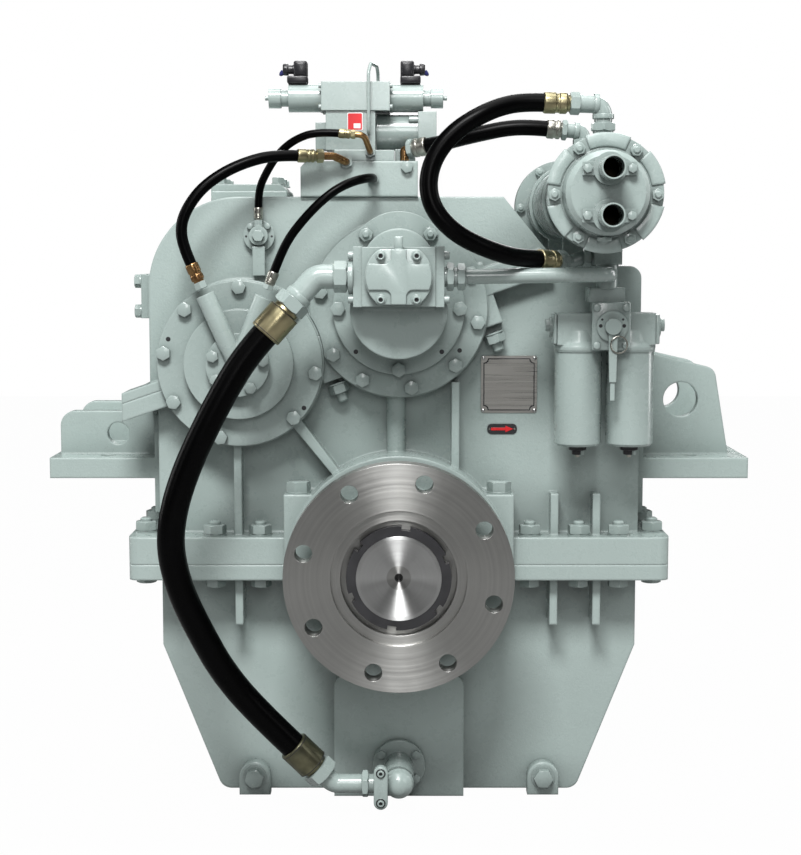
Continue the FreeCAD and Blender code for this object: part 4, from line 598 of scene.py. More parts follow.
    def mesh(self, name, sharp):
        """The parts as one smooth mesh in metres, with edges kept sharp above an angle in degrees."""
        mesh = bpy.data.meshes.new(name)
        mesh.from_pydata([(x * MM, y * MM, z * MM) for x, y, z in self.verts], [], self.faces)
        mesh.polygons.foreach_set("use_smooth", [True] * len(mesh.polygons))
        mesh.set_sharp_from_angle(angle=math.radians(sharp))
        return mesh

    def make(self, name, materials, body="housing", replaces=()):
        """The finished piece on its body."""
        mesh = self.mesh(name, PIECE_SHARP)
        for material in materials:
            mesh.materials.append(material)
        mesh.polygons.foreach_set("material_index", self.marks)
        mesh.update()
        settle(in_scene(name, mesh), body, replaces)


def fastener_tree():
    """Puts one fastener on every spot, facing its own way, each turned a little differently."""
    tree = bpy.data.node_groups.new("fasteners_on_spots", "GeometryNodeTree")
    tree.is_modifier = True
    face = tree.interface
    face.new_socket("Spots", in_out="INPUT", socket_type="NodeSocketGeometry")
    face.new_socket("Fastener", in_out="INPUT", socket_type="NodeSocketObject")
    face.new_socket("Finish", in_out="INPUT", socket_type="NodeSocketMaterial")
    size = face.new_socket("Size", in_out="INPUT", socket_type="NodeSocketFloat")
    size.default_value = 1.0
    turn = face.new_socket("Turn", in_out="INPUT", socket_type="NodeSocketFloat")
    turn.default_value = 1.0
    seed = face.new_socket("Seed", in_out="INPUT", socket_type="NodeSocketInt")
    seed.default_value = 7
    face.new_socket("Geometry", in_out="OUTPUT", socket_type="NodeSocketGeometry")
    n, link = tree.nodes, tree.links.new
    given, made = n.new("NodeGroupInput"), n.new("NodeGroupOutput")
    facing = n.new("GeometryNodeInputNamedAttribute")
    facing.data_type = "FLOAT_VECTOR"
    facing.inputs["Name"].default_value = "facing"
    align = n.new("FunctionNodeAlignRotationToVector")
    align.axis = "Z"
    link(facing.outputs["Attribute"], align.inputs["Vector"])
    spin = n.new("FunctionNodeRandomValue")
    spin.data_type = "FLOAT"
    link(given.outputs["Turn"], spin.inputs["Max"])
    link(given.outputs["Seed"], spin.inputs["Seed"])
    about = n.new("FunctionNodeAxisAngleToRotation")
    about.inputs["Axis"].default_value = (0, 0, 1)
    link(spin.outputs[1], about.inputs["Angle"])
    rotate = n.new("FunctionNodeRotateRotation")
    rotate.rotation_space = "LOCAL"
    link(align.outputs["Rotation"], rotate.inputs["Rotation"])
    link(about.outputs["Rotation"], rotate.inputs["Rotate By"])
    info = n.new("GeometryNodeObjectInfo")
    link(given.outputs["Fastener"], info.inputs["Object"])
    put = n.new("GeometryNodeInstanceOnPoints")
    link(given.outputs["Spots"], put.inputs["Points"])
    link(info.outputs["Geometry"], put.inputs["Instance"])
    link(rotate.outputs["Rotation"], put.inputs["Rotation"])
    link(given.outputs["Size"], put.inputs["Scale"])
    real = n.new("GeometryNodeRealizeInstances")
    link(put.outputs["Instances"], real.inputs["Geometry"])
    finish = n.new("GeometryNodeSetMaterial")
    link(real.outputs["Geometry"], finish.inputs["Geometry"])
    link(given.outputs["Finish"], finish.inputs["Material"])
    link(finish.outputs["Geometry"], made.inputs["Geometry"])
    return tree


FASTENERS = fastener_tree()


def fasten(name, spots, build, replaces=()):
    """One fastener on each spot: spots are (place, facing) pairs, place in millimetres."""
    shape = Shape()
    build(shape)
    pattern = in_scene("pattern", shape.mesh("pattern", FASTENER_SHARP))
    mesh = bpy.data.meshes.new(name + "_spots")
    mesh.from_pydata([tuple(c * MM for c in place) for place, _ in spots], [], [])
    store = mesh.attributes.new("facing", "FLOAT_VECTOR", "POINT")
    store.data.foreach_set("vector", [c for _, facing in spots for c in facing])
    source = in_scene(name + "_spots", mesh)
    mod = source.modifiers.new("fasteners", "NODES")
    mod.node_group = FASTENERS
    named = {s.name: s.identifier for s in FASTENERS.interface.items_tree if s.in_out == "INPUT"}
    for label, value in (("Fastener", pattern), ("Finish", FITTING), ("Size", 1.0), ("Turn", 1.05),
                         ("Seed", 7)):
        mod[named[label]] = value
    source.update_tag()
    graph = bpy.context.evaluated_depsgraph_get()
    plain = bpy.data.meshes.new_from_object(source.evaluated_get(graph))
    plain.name = name
    bpy.data.objects.remove(source)
    bpy.data.objects.remove(pattern)
    settle(in_scene(name, plain), replaces=replaces)


def hex_screw(flats, height, washer=0.0):
    """A builder of a hex head with its pressed washer face."""
    def build(shape):
        rim = washer or flats * 0.47
        deep = 2.5 if washer else 0.8
        shape.drum(0, deep, rim, ORIGIN, UP, 0, 32)
        shape.hexagon((0, 0, deep - 0.2), UP, flats, height)
    return build


def stud_nut(flats, height, stud, proud, washer=0.0):
    """A builder of a nut on a stud whose rounded end stands proud."""
    def build(shape):
        rim = washer or flats * 0.48
        shape.drum(0, 2.5, rim, ORIGIN, UP, 0, 32)
        shape.hexagon((0, 0, 2.4), UP, flats, height, 0, True)
        top = 2.4 + height
        shape.lathe([(top - 1, 0), (top - 1, stud), (top + proud - stud * 0.25, stud),
                     (top + proud, stud * 0.7), (top + proud, 0)], ORIGIN, UP, 0, 20)
    return build


def socket_head(radius, height):
    """A builder of a socket cap screw head."""
    def build(shape):
        shape.lathe([(0, 0), (0, radius), (height - 1, radius), (height, radius - 1), (height, radius * 0.58),
                     (height * 0.45, radius * 0.5), (height * 0.45, 0)], ORIGIN, UP, 0, 24)
    return build


def paint_castings():
    """Each carried-over part gets the finish of the real one."""
    finishes = {
        CAST: ("lower_casing", "middle_casing", "top_casing", "left_mounting_bracket",
               "right_mounting_bracket", "pump_adapter", "filter_head", "valve_manifold"),
        SMOOTH: ("output_seal_cover", "input_front_cover", "countershaft_cover", "oil_distributor_cap",
                 "pump_body", "pump_end_cover", "inspection_covers", "rear_bearing_covers",
                 "cooler_front_cap", "cooler_rear_cap", "cooler_saddles", "filter_bowls", "valve_body",
                 "solenoid_block", "solenoids", "damper_cylinder", "sensor_flange", "suction_elbows",
                 "oil_pipes", "casing_joint_bolts", "cover_fasteners", "changeover_lever"),
        TURNED: ("output_flange", "input_coupling"),
        SILVER: ("hose_fittings",),
        CONE: ("output_shaft",),
        BLACKED: ("flange_lock_nut",),
        BLACK: ("solenoid_plugs",),
        FITTING: ("cooler_water_ports", "cooler_shell"),
        SHADED_BRASS: ("cooler_tube_bundle",),
        PAPER: ("filter_elements",),
        LINING: ("ahead_friction_discs", "astern_friction_discs"),
    }
    for material, names in finishes.items():
        for name in names:
            dress(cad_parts[name], material)
    done = {name for names in finishes.values() for name in names}
    for name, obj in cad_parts.items():
        if name not in done:
            dress(obj, GROUND)


def dress(obj, material):
    """Assigns one material to a carried-over part through its own slots."""
    if not obj.material_slots:
        obj.data.materials.append(material)
    for item in obj.material_slots:
        item.link = "OBJECT"
        item.material = material


# The routes run along the middle of each hose, from one fitting to the other.
SUCTION = [(-226, 6, 422), (-258, 2, 386), (-291, -6, 333), (-329, -14, 262), (-364, -18, 185),
           (-386, -18, 113), (-391, -12, 47), (-373, -2, -28), (-342, 14, -100), (-308, 34, -171),
           (-255, 52, -243), (-187, 62, -313)]
COOLER_IN = [(243, -9, 807), (208, -10, 808), (169, -18, 800), (131, -30, 783), (97, -34, 761),
             (70, -38, 733), (53, -42, 701), (48, -46, 667), (55, -50, 635), (76, -51, 606),
             (106, -48, 583), (144, -36, 566), (181, -12, 554), (212, 14, 549), (240, 36, 547)]
COOLER_OUT = [(263, 150, 776), (228, 150, 779), (188, 152, 777), (149, 156, 769), (112, 163, 761),
              (79, 174, 753), (48, 186, 748)]
CLUTCH = [(-177, 148, 729), (-220, 138, 729), (-263, 126, 718), (-305, 115, 699), (-343, 105, 671),
          (-368, 99, 637), (-380, 97, 605), (-376, 97.5, 570), (-361.5, 97.5, 537)]
PRESSURE = [(-104, 150, 768), (-145, 152, 771), (-184, 158, 758), (-213, 166, 735), (-235, 173, 703),
            (-251, 177, 669), (-251, 177, 637)]
LUBE = [(-46, 188, 691), (-46, 160, 691), (-57, 133, 689), (-79, 112, 683), (-108, 100, 669),
        (-137, 95, 646), (-165, 94, 617), (-190, 95.5, 586), (-207, 97.5, 553), (-218.5, 97.5, 523.5)]
# From the end of a hose to the far face of its union nut.
SUCTION_NUT, COOLER_IN_NUT, COOLER_OUT_NUT, CLUTCH_NUT, PRESSURE_NUT = 78.4, 58.8, 33.6, 44.8, 28
# Marks of the hose ends' finishes, in the order of their material slots; the fifth, black, draws rings of
# painted shade at the ferrules' joints.
YELLOW, BRIGHT, BENT, PAINTED, JOINT_SHADE, DULL = range(6)


def hose(name, route, diameter, node):
    """One rubber hose along its route as a smooth cord held at both ends."""
    data = bpy.data.curves.new(name, "CURVE")
    data.dimensions = "3D"
    data.resolution_u = 14
    data.bevel_depth = diameter / 2 * MM
    data.bevel_resolution = 7
    data.use_fill_caps = True
    line = data.splines.new("NURBS")
    line.points.add(len(route) - 1)
    for spot, point in zip(line.points, route):
        spot.co = (point[0] * MM, point[1] * MM, point[2] * MM, 1)
    line.order_u = 3
    line.use_endpoint_u = True
    data.materials.append(HOSE)
    obj = in_scene(name, data)
    settle(obj, replaces=[node])


def make_hoses():
    """The six oil hoses, whole from fitting to fitting."""
    hose("suction_hose_cover", SUCTION, 48, "suction_hose")
    hose("cooler_inlet_hose_cover", COOLER_IN, 31, "cooler_inlet_hose")
    hose("cooler_outlet_hose_cover", COOLER_OUT, 28, "cooler_outlet_hose")
    hose("clutch_hose_cover", CLUTCH, 20, "clutch_oil_hose")
    hose("pressure_hose_cover", PRESSURE, 14, "pressure_hose")
    hose("lubrication_hose_cover", LUBE, 16, "lubrication_hose")


def hose_end(route, last, reach=0.0):
    """A point past the end of a hose, and the unit direction that leaves the hose there."""
    before, end = [Vector(p) for p in (route[-2:] if last else route[1::-1])]
    axis = (end - before).normalized()
    return end + axis * reach, axis


def sleeve(shape, at, axis, radius, length, bands, mark):
    """A crimped ferrule: a rolled mouth, a plain barrel and pressed bands towards the nut."""
    profile = [(-2, 0), (-2, radius * 0.93), (0, radius), (length * 0.42, radius)]
    step = length * 0.42 / max(bands, 1)
    t = length * 0.44
    for _ in range(bands):
        profile += [(t, radius * 0.91), (t + step * 0.3, radius * 0.9), (t + step * 0.4, radius * 0.99),
                    (t + step * 0.96, radius * 0.99)]
        t += step
    if not bands:
        profile += [(length * 0.86, radius)]
    profile += [(length * 0.88, radius * 0.93), (length * 0.9, radius * 0.8), (length, radius * 0.78),
                (length, 0)]
    shape.lathe(profile, at, axis, mark, 44, 0.6)
    # Plain ferrules get thin black rings at the mouth and by the nut: painted shade in the joints.
    for t in (0.03, 0.85) if not bands else ():
        shape.lathe([(0, radius - 1), (0, radius + 0.35), (1.1, radius + 0.35), (1.1, radius - 1)],
                    at + axis * (length * t), axis, JOINT_SHADE, 44)


def make_hose_fittings():
    """Ferrules, union nuts and the bent copper pipes at the ends of the hoses."""
    shape = Shape()
    for route, last, radius, length, nut, bands, mark, nut_mark in (
            (SUCTION, False, 29, 56, 30, 0, YELLOW, PAINTED),
            (SUCTION, True, 29, 56, 30, 0, DULL, PAINTED),
            (COOLER_IN, False, 18, 42, 19, 1, YELLOW, PAINTED),
            (COOLER_IN, True, 18, 42, 19, 1, YELLOW, PAINTED),
            (COOLER_OUT, False, 17, 24, 18, 1, BRIGHT, PAINTED),
            (COOLER_OUT, True, 17, 24, 18, 1, BRIGHT, PAINTED),
            (CLUTCH, False, 12, 32, 12, 2, YELLOW, YELLOW),
            (CLUTCH, True, 12, 32, 12, 1, BENT, PAINTED),
            (PRESSURE, False, 8.5, 20, 8, 3, YELLOW, YELLOW),
            (PRESSURE, True, 8.5, 20, 8, 3, BRIGHT, PAINTED),
            (LUBE, True, 10, 22, 10, 3, BRIGHT, PAINTED)):
        at, axis = hose_end(route, last)
        sleeve(shape, at, axis, radius, length, bands, mark)
        shape.hexagon(at + axis * length, axis, nut * 1.73, length * 0.4, nut_mark, True)
    end, axis = hose_end(CLUTCH, False, CLUTCH_NUT)
    shape.pipe([end - axis * 3, end + axis * 18, (-94, 169, 720), (-94, 187.7, 720)], 7, BENT, 16)
    shape.hexagon((-94, 177, 720), BACK, 21, 10.5, PAINTED)
    end, axis = hose_end(PRESSURE, False, PRESSURE_NUT)
    shape.pipe([end - axis * 3, end + axis * 15, (-51, 166, 738), (-51, 191.7, 738)], 5.5, BENT, 14)
    shape.hexagon((-51, 182, 738), BACK, 17, 11, PAINTED)
    end, axis = hose_end(COOLER_OUT, True, COOLER_OUT_NUT)
    shape.pipe([end - axis * 3, end + axis * 7, (10, 200, 738), (10, 200, 723)], 8, BENT, 12)
    shape.drum(-3, 7, 10.5, (-46, 186, 691), FRONT, PAINTED, 24)
    shape.make("hose_end_fittings", [GOLD, SILVER, COPPER, FITTING, BLACKED, OLIVE],
               replaces=["hose_fittings"])


def make_suction_elbows():
    """Cast elbows at the pump's inlet and at the sump, with their split flange."""
    shape = Shape()
    inlet_z, face = PUMP_Z, -77.0
    start, axis = hose_end(SUCTION, False, SUCTION_NUT)
    corner = start + axis * ((inlet_z - start.z) / axis.z)
    shape.pipe([start - axis * 2, corner, (face, corner.y, inlet_z)], 21, 0, 26, 32)
    shape.drum(0, 12, 24, start - axis, axis, 0, 36, 1.5)
    shape.hexagon((face - 34, corner.y, inlet_z), RIGHT, 47, 24, 0, True)
    shape.drum(0, 9, 30, (face - 9, corner.y, inlet_z), RIGHT, 0, 40, 1.2)
    low_z, wall_y = -385.0, 186.0
    start, axis = hose_end(SUCTION, True, SUCTION_NUT)
    corner = start + axis * ((low_z - start.z) / axis.z)
    y = corner.y
    shape.pipe([start - axis * 2, corner, (-20, y, low_z)], 17, 0, 24, 32)
    shape.hexagon((-66, y, low_z), RIGHT, 43, 12, 0, True)
    shape.lathe([(0, 0), (0, 21), (8, 21), (8, 19), (20, 19), (20, 0)], (-44, y, low_z), RIGHT, 0, 36, 1.2)
    ear = [(-32 + 12.5 * math.cos(math.radians(a)), low_z + 27 + 12.5 * math.sin(math.radians(a)))
           for a in range(0, 181, 20)]
    ear += [(-64 - px, 2 * low_z - pz) for px, pz in ear]
    shape.plate(ear, y - 29, y - 14, 0, 2.0, 3)
    for side in (-1, 1):
        height = low_z + side * 27
        # A black disc under each screw head: painted shade in the ring round the head.
        shape.drum(-0.5, 0.5, 8.6, (-32, y - 29, height), FRONT, 1, 28)
        shape.socket_screw((-32, y - 29.4, height), 6.2, 4)
    shape.lathe([(0, 0), (5, 14), (14, 24), (27, 27), (40, 27)], (0, y - 27, low_z), BACK, 0, 40, 2)
    shape.drum(0, wall_y - y, 27, (0, y, low_z), BACK)
    shape.drum(0, 13, 49, (0, wall_y - 13, low_z), BACK, 0, 56, 2)
    for place, facing in ring_spots((0, low_z), wall_y - 12.5, 39, (35, 145, 215, 325)):
        shape.hexagon(place, facing, 15, 7.5)
    shape.make("suction_pipe_elbows", [SMOOTH, BLACKED], replaces=["suction_elbows"])


def make_oil_pipes():
    """Delivery pipe from pump to filter, cooler elbows and the thin sensing pipe."""
    shape = Shape()
    z = PUMP_Z
    start, y = 77.0, 15.0
    shape.pipe([(start + 30, y, z), (230, y, z + 2), (FILTER_X, y, z + 4), (FILTER_X, 71.6, z + 4)],
               13, 0, 30, 28)
    shape.hexagon((start + 4, y, z), RIGHT, 42, 13, 0, True)
    shape.drum(0, 38, 17, (start, y, z), RIGHT, 0, 36, 1)
    shape.hexagon((start + 22, y, z), RIGHT, 40, 14, 0, True)
    for route, nut, neck_x, low, radius in (
            (COOLER_IN, COOLER_IN_NUT, COOLER[0], 760.0, 16),
            (COOLER_OUT, COOLER_OUT_NUT, COOLER[0] - 16, 744.0, 14)):
        start, axis = hose_end(route, False, nut)
        corner = start + axis * ((neck_x - start.x) / axis.x)
        foot = Vector((corner.x, corner.y, low))
        shape.pipe([start - axis * 2, corner, foot], radius - 1, 0, 20, 28)
        shape.hexagon(foot, UP, (radius + 6) * 1.73, 14, 0, True)
        shape.drum(0, 8, radius + 2, corner - axis * 16, axis, 0, 32, 1)
        shape.drum(0, 8, radius + 2, corner + Vector((0, 0, -24)), UP, 0, 32, 1)
    start, axis = hose_end(COOLER_IN, True, COOLER_IN_NUT)
    shape.pipe([start - axis * 2, start + axis * 14, (318, 90, 550), (338, 90, 550)], 12, 0, 14, 28)
    shape.hexagon((321, 90, 550), RIGHT, 33, 13, 0, True)
    shape.pipe([(-54, 199.7, 772), (-54, 186, 772), (-54, 184, 790), (-54, 184, 878), (-50, 200, 896),
                (-40, 240, 894), (-38, 262, 884), (-38, 262, 863)], 3, 0, 14, 14)
    shape.make("oil_pipes_and_elbows", [FITTING], replaces=["oil_pipes"])


def make_casing_bolts():
    """Nuts and studs along the joint flange, with the bolt heads below it."""
    spots = [(x, 160.0) for x in (-333, -251, 237, 326, 398)]
    spots += [(side * 464.0, y) for side in (-1, 1) for y in (200.0, 330.0, 460.0, 590.0)]
    spots += [(x, 713.0) for x in (-380, -230, 230, 380)]
    above = [((x, y, 50.0), UP) for x, y in spots]
    below = [((x, y, -28.0), DOWN) for x, y in spots]
    fasten("joint_nuts", above, stud_nut(36, 17, 10.5, 7, 21), ["casing_joint_bolts"])
    fasten("joint_bolt_heads", below, hex_screw(34, 14, 19))
    caps = [((side * 180.0, 142.0, 130.0), UP) for side in (-1, 1)]
    fasten("bearing_cap_bolts", caps, hex_screw(38, 19, 22))


def make_cover_screws():
    """Hex screws on the front covers, and the bolts of the cooler and its water ports."""
    spots = ring_spots(INPUT, 150.0, 143.0, (26, -10, -45, -81, -117, -145, 168))
    spots += ring_spots(COUNTER, 137.0, 136.0, (90, 135, 172, 210, 255, -45, -7, 45))
    fasten("cover_screws", spots, hex_screw(23, 10.5), ["cover_fasteners"])
    fasten("cover_stud_nuts", ring_spots(INPUT, 150.0, 143.0, (114, 67)), stud_nut(22, 8, 6, 5, 14))
    fasten("distributor_screws", ring_spots(COUNTER, 97.0, 46.0, (-145, -60, 10, 160)), hex_screw(19, 9))
    ends = ring_spots(COOLER, -56.0, 85.0, COOLER_BOLTS)
    ends += ring_spots(COOLER, 746.0, 85.0, COOLER_BOLTS, BACK)
    fasten("cooler_bolts", ends, stud_nut(18.5, 8, 5.6, 3))
    ports = [((342 + side * 36.0, -100.0, 656 + dz), FRONT) for side in (-1, 1) for dz in (38, -38)]
    fasten("water_port_bolts", ports, hex_screw(13.5, 6.5))


def make_rear_cover_screws():
    """Hex screws round the three bearing covers on the engine's side."""
    spots = ring_spots((0.0, 0.0), 749.0, 134.0, range(15, 375, 30), BACK)
    for centre, y in ((COUNTER, 704.0), (INPUT, 714.0)):
        spots += ring_spots(centre, y, 106.0, range(0, 360, 45), BACK)
    fasten("rear_cover_screws", spots, hex_screw(19, 9))


def ring_spots(centre, y, radius, angles, facing=FRONT):
    """Spots round a centre in a plane square to Y, angles anticlockwise from +X."""
    spots = []
    for angle in angles:
        a = math.radians(angle)
        spots.append(((centre[0] + radius * math.cos(a), y, centre[1] + radius * math.sin(a)), facing))
    return spots


def arc_outline(x0, x1, z0, z1, radius, steps=4, inward=False):
    """A rectangle's outline with rounded corners, or with corners scooped inwards."""
    points = []
    corners = ((x1, z1, 0), (x0, z1, 90), (x0, z0, 180), (x1, z0, 270))
    for x, z, first in corners:
        sx, sz = (1 if x == x1 else -1), (1 if z == z1 else -1)
        for k in range(steps + 1):
            a = math.radians(first + 90 * k / steps)
            if inward:
                flip = math.radians(270 + first - 90 * k / steps)
                points.append((x + radius * math.cos(flip), z + radius * math.sin(flip)))
            else:
                cx, cz = x - sx * radius, z - sz * radius
                points.append((cx + radius * math.cos(a), cz + radius * math.sin(a)))
    return points


def make_plates():
    """The bare name plate with its raised border, and the small plate with a turning arrow."""
    shape = Shape()
    y = WALL_Y
    shape.plate(arc_outline(149, 251, 269, 373, 5), y - 1.6, y, 0, 0.3, 1)
    shape.plate(arc_outline(153.5, 246.5, 273.5, 368.5, 8, 6, True), y - 1.9, y - 1.4, 2, 0.0)
    shape.plate(arc_outline(155.3, 244.7, 275.3, 366.7, 8, 6, True), y - 2.3, y - 1.7, 0, 0.2, 1)
    for x in (153.5, 246.5):
        for z in (273.5, 368.5):
            shape.lathe([(0, 0), (0, 3.4), (1.2, 3), (2.2, 1.4), (2.4, 0)], (x, y - 1.6, z), FRONT, 1, 18)
    shape.make("bare_name_plate", [PLATE, GROUND, BLACKED])
    arrow = Shape()
    arrow.plate(arc_outline(161, 215, 230, 249, 8), y - 1.5, y, 0, 0.3, 1)
    arrow.plate([(168, 237), (194, 237), (194, 233.5), (208, 239.5), (194, 245.5), (194, 242), (168, 242)],
                y - 2.1, y - 1.4, 1, 0.0)
    for x in (165, 211):
        arrow.lathe([(0, 0), (0, 2), (1.2, 1.4), (1.4, 0)], (x, y - 1.5, 239.5), FRONT, 2, 14)
    arrow.make("turning_arrow_plate", [BLACKED, RED, SILVER])


def floor_and_light():
    """A pale floor, a white surround and soft boxes as in a product studio."""
    size = 9.0
    corners = [(-size, -size, FLOOR), (size, -size, FLOOR), (size, size, FLOOR), (-size, size, FLOOR)]
    mesh = bpy.data.meshes.new("studio_floor")
    mesh.from_pydata(corners, [], [(0, 1, 2, 3)])
    floor = in_scene("studio_floor", mesh)
    mat, tree, surface, where = start_material("studio_paper", 0.75)
    tone = ramp(tree, noise(tree, where, 3.0, 2.0), 0.3, 0.7)
    tree.links.new(blend(tree, tone, rgba((0.25,) * 3), rgba((0.28,) * 3)), surface.inputs["Base Color"])
    glow = tree.nodes.new("ShaderNodeEmission")
    path = tree.nodes.new("ShaderNodeLightPath")
    mixed = tree.nodes.new("ShaderNodeMixShader")
    tree.links.new(maths(tree, "MULTIPLY", path.outputs["Is Camera Ray"], FLOOR_GLOW), mixed.inputs["Fac"])
    tree.links.new(surface.outputs[0], mixed.inputs[1])
    tree.links.new(glow.outputs[0], mixed.inputs[2])
    tree.links.new(mixed.outputs[0], tree.nodes["Material Output"].inputs["Surface"])
    mesh.materials.append(mat)
    world = bpy.data.worlds.new("studio")
    world.use_nodes = True
    bpy.context.scene.world = world
    tree = world.node_tree
    back = tree.nodes["Background"]
    path = tree.nodes.new("ShaderNodeLightPath")
    strength = ramp(tree, path.outputs["Is Camera Ray"], 0.0, 1.0, 0.05, 1.0)
    tree.links.new(strength, back.inputs["Strength"])
    back.inputs["Color"].default_value = (1, 1, 1, 1)
    for name, place, look, width, height, power in (
            ("key_box", (-0.5, -3.2, 4.4), (0, 0.1, 0.1), 1.8, 1.2, 348),
            ("front_box", (0.1, -4.3, 1.9), (0, 0.1, 0.1), 0.7, 1.5, 34),
            ("right_box", (3.4, -2.0, 1.8), (0, 0.1, 0.1), 0.8, 2.2, 12),
            ("left_box", (-3.4, -1.8, 1.6), (0, 0.1, 0.1), 0.8, 2.2, 11),
            ("top_box", (0.2, 0.3, 3.8), (0, 0.2, 0.2), 3.0, 1.8, 60),
            ("back_box", (0.6, 4.2, 2.6), (0, 0.4, 0.1), 2.6, 1.6, 90),
            ("left_strip", (-2.6, 0.8, 1.0), (0, 0.3, 0.2), 0.6, 2.0, 20),
            ("right_strip", (2.6, 0.8, 1.0), (0, 0.3, 0.2), 0.6, 2.0, 20)):
        data = bpy.data.lights.new(name, "AREA")
        data.shape = "RECTANGLE"
        data.size, data.size_y = width, height
        data.energy = power
        lamp = in_scene(name, data)
        lamp.location = place
        lamp.rotation_mode = "QUATERNION"
        lamp.rotation_quaternion = (Vector(look) - Vector(place)).to_track_quat("-Z", "Y")
    bpy.context.scene.view_settings.view_transform = "Standard"


def trimmed_disc(z, radius, flat):
    """The outline of a disc cut off flat at the top and the bottom."""
    steps = 56
    points = []
    for k in range(steps):
        a = 2 * math.pi * k / steps
        points.append((radius * math.cos(a), z + max(-flat, min(flat, radius * math.sin(a)))))
    return points


def cross_outline(z, radius, arm, bar, flat, fillet):
    """The raised cross of the pump's cover: inner corners filleted, side arms ending on a circle."""
    reach = math.asin(bar / radius)
    quarter = [(radius * math.cos(a), radius * math.sin(a)) for a in (0.05, reach / 2, reach)]
    for k in range(6):
        a = math.radians(-90 - 18 * k)
        quarter.append((arm + fillet + fillet * math.cos(a), bar + fillet + fillet * math.sin(a)))
    quarter.append((arm, flat))
    points = []
    for sx, sz in ((1, 1), (-1, 1), (-1, -1), (1, -1)):
        part = [(sx * x, z + sz * h) for x, h in quarter]
        points += part if sx == sz else part[::-1]
    return points


def make_pump_cover():
    """The pump's end cover with its raised cross, sunk screws and casting lug."""
    shape = Shape()
    z = PUMP_Z
    shape.plate(trimmed_disc(z, 57, 46.5), -28, -10, 0, 1.6, 3)
    shape.plate(cross_outline(z, 55.3, 12.8, 21.6, 46, 11), -32, -27, 0, 1.4, 3)
    shape.block((-7, 7), (-25, -11), (z + 42, z + 68), 2.5, 3)
    for x in (-30.0, 30.0):
        for height in (z + 35.0, z - 38.0):
            shape.lathe([(0, 0), (0, 9.5), (0.9, 9), (0.9, 0)], (x, -28.2, height), FRONT, 0, 32)
            shape.socket_screw((x, -28.8, height), 6.8, 7)
    shape.make("pump_cover_casting", [SMOOTH, BLACKED], replaces=["pump_end_cover"])
    sides = [((side * 77.0, y, z + height), (side, 0, 0)) for side in (-1, 1) for y in (2.0, 29.0)
             for height in (36.0, -38.0)]
    fasten("pump_side_screws", sides, socket_head(7, 9))


def hole_shade_discs(name, spots, radius):
    """Tapped holes as thin black discs, painted shade where the holes are deep: (place, facing) pairs."""
    shape = Shape()
    for place, facing in spots:
        shape.drum(-0.2, 0.15, radius, place, facing, 0, 20)
    shape.make(name, [BLACKED])


def make_small_fasteners():
    """Screws, nuts and tapped holes that the covers, lugs and flanges carry."""
    fasten("adapter_screws", ring_spots(INPUT, 134.0, 108.0, (0, 180, -90)), hex_screw(23, 10))
    holes = ring_spots(INPUT, 134.0, 108.0, (-45, -135))
    holes += [((-410.0, 137.0, 406.0), FRONT), ((-169.3, 137.0, 283.1), FRONT),
              ((108.6, 150.0, 385.1), FRONT)]
    # Black discs as painted shade in the jack screw and sensor flange holes.
    hole_shade_discs("jack_screw_holes", holes, 4.2)
    hole_shade_discs("sensor_flange_holes", [((x, 184.0, 588.0), FRONT) for x in (-274.0, -228.0)], 2.0)
    sensor = [((x, 184.0, 606.0), FRONT) for x in (-266.5, -235.5)]
    fasten("sensor_flange_screws", sensor, hex_screw(10, 6))
    nuts = ring_spots(COOLER, 714.0, 85.0, COOLER_BOLTS)
    nuts += ring_spots(COOLER, -24.0, 85.0, COOLER_BOLTS, BACK)
    fasten("cooler_flange_nuts", nuts, stud_nut(17, 8, 5, 3))
    slope = (0.326, 0.0, -0.945)
    below = [((x - slope[0] * 2, 178.0, z - slope[2] * 2), slope)
             for x, z in ((170.0, 414.0), (-110.4, 323.7))]
    fasten("incline_lug_nuts", below, stud_nut(34, 17, 10, 16, 19))
    top = [((x, y, 687.0), UP) for x in (-338.0, -228.0) for y in (352.0, 425.0, 498.0)]
    side = [((-482.0, y, z), LEFT) for y in (312.0, 408.0) for z in (450.0, 506.0)]
    fasten("inspection_cover_screws", top + side, hex_screw(22, 11, 13))
    fasten("sump_lug_plugs", [((x, 190.0, -411.0), FRONT) for x in (-268.0, 268.0)], hex_screw(31, 14, 22))
    valve = [((x, y, z), facing) for x, facing in ((-139.0, LEFT), (-16.0, RIGHT))
             for y in (203.0, 279.0) for z in (819.0, 856.0)]
    fasten("solenoid_screws", valve, socket_head(4.6, 5))
    fasten("damper_screws", [((35.0, 226.0, z), LEFT) for z in (798.0, 757.0)], socket_head(6.5, 17))
    fasten("manifold_screw", [((14.6, 188.0, 711.0), FRONT)], hex_screw(19, 9))


def make_sump_lugs():
    """The square-footed lugs of the sump's two front plugs."""
    shape = Shape()
    for x in (-268.0, 268.0):
        outline = [(x - 29, -445.5), (x + 29, -445.5)]
        outline += [(x + 29 * math.cos(math.radians(a)), -412 + 29 * math.sin(math.radians(a)))
                    for a in range(0, 181, 12)]
        shape.plate(outline, 190, 217, 0, 2.5, 3)
    shape.make("sump_lugs", [CAST])


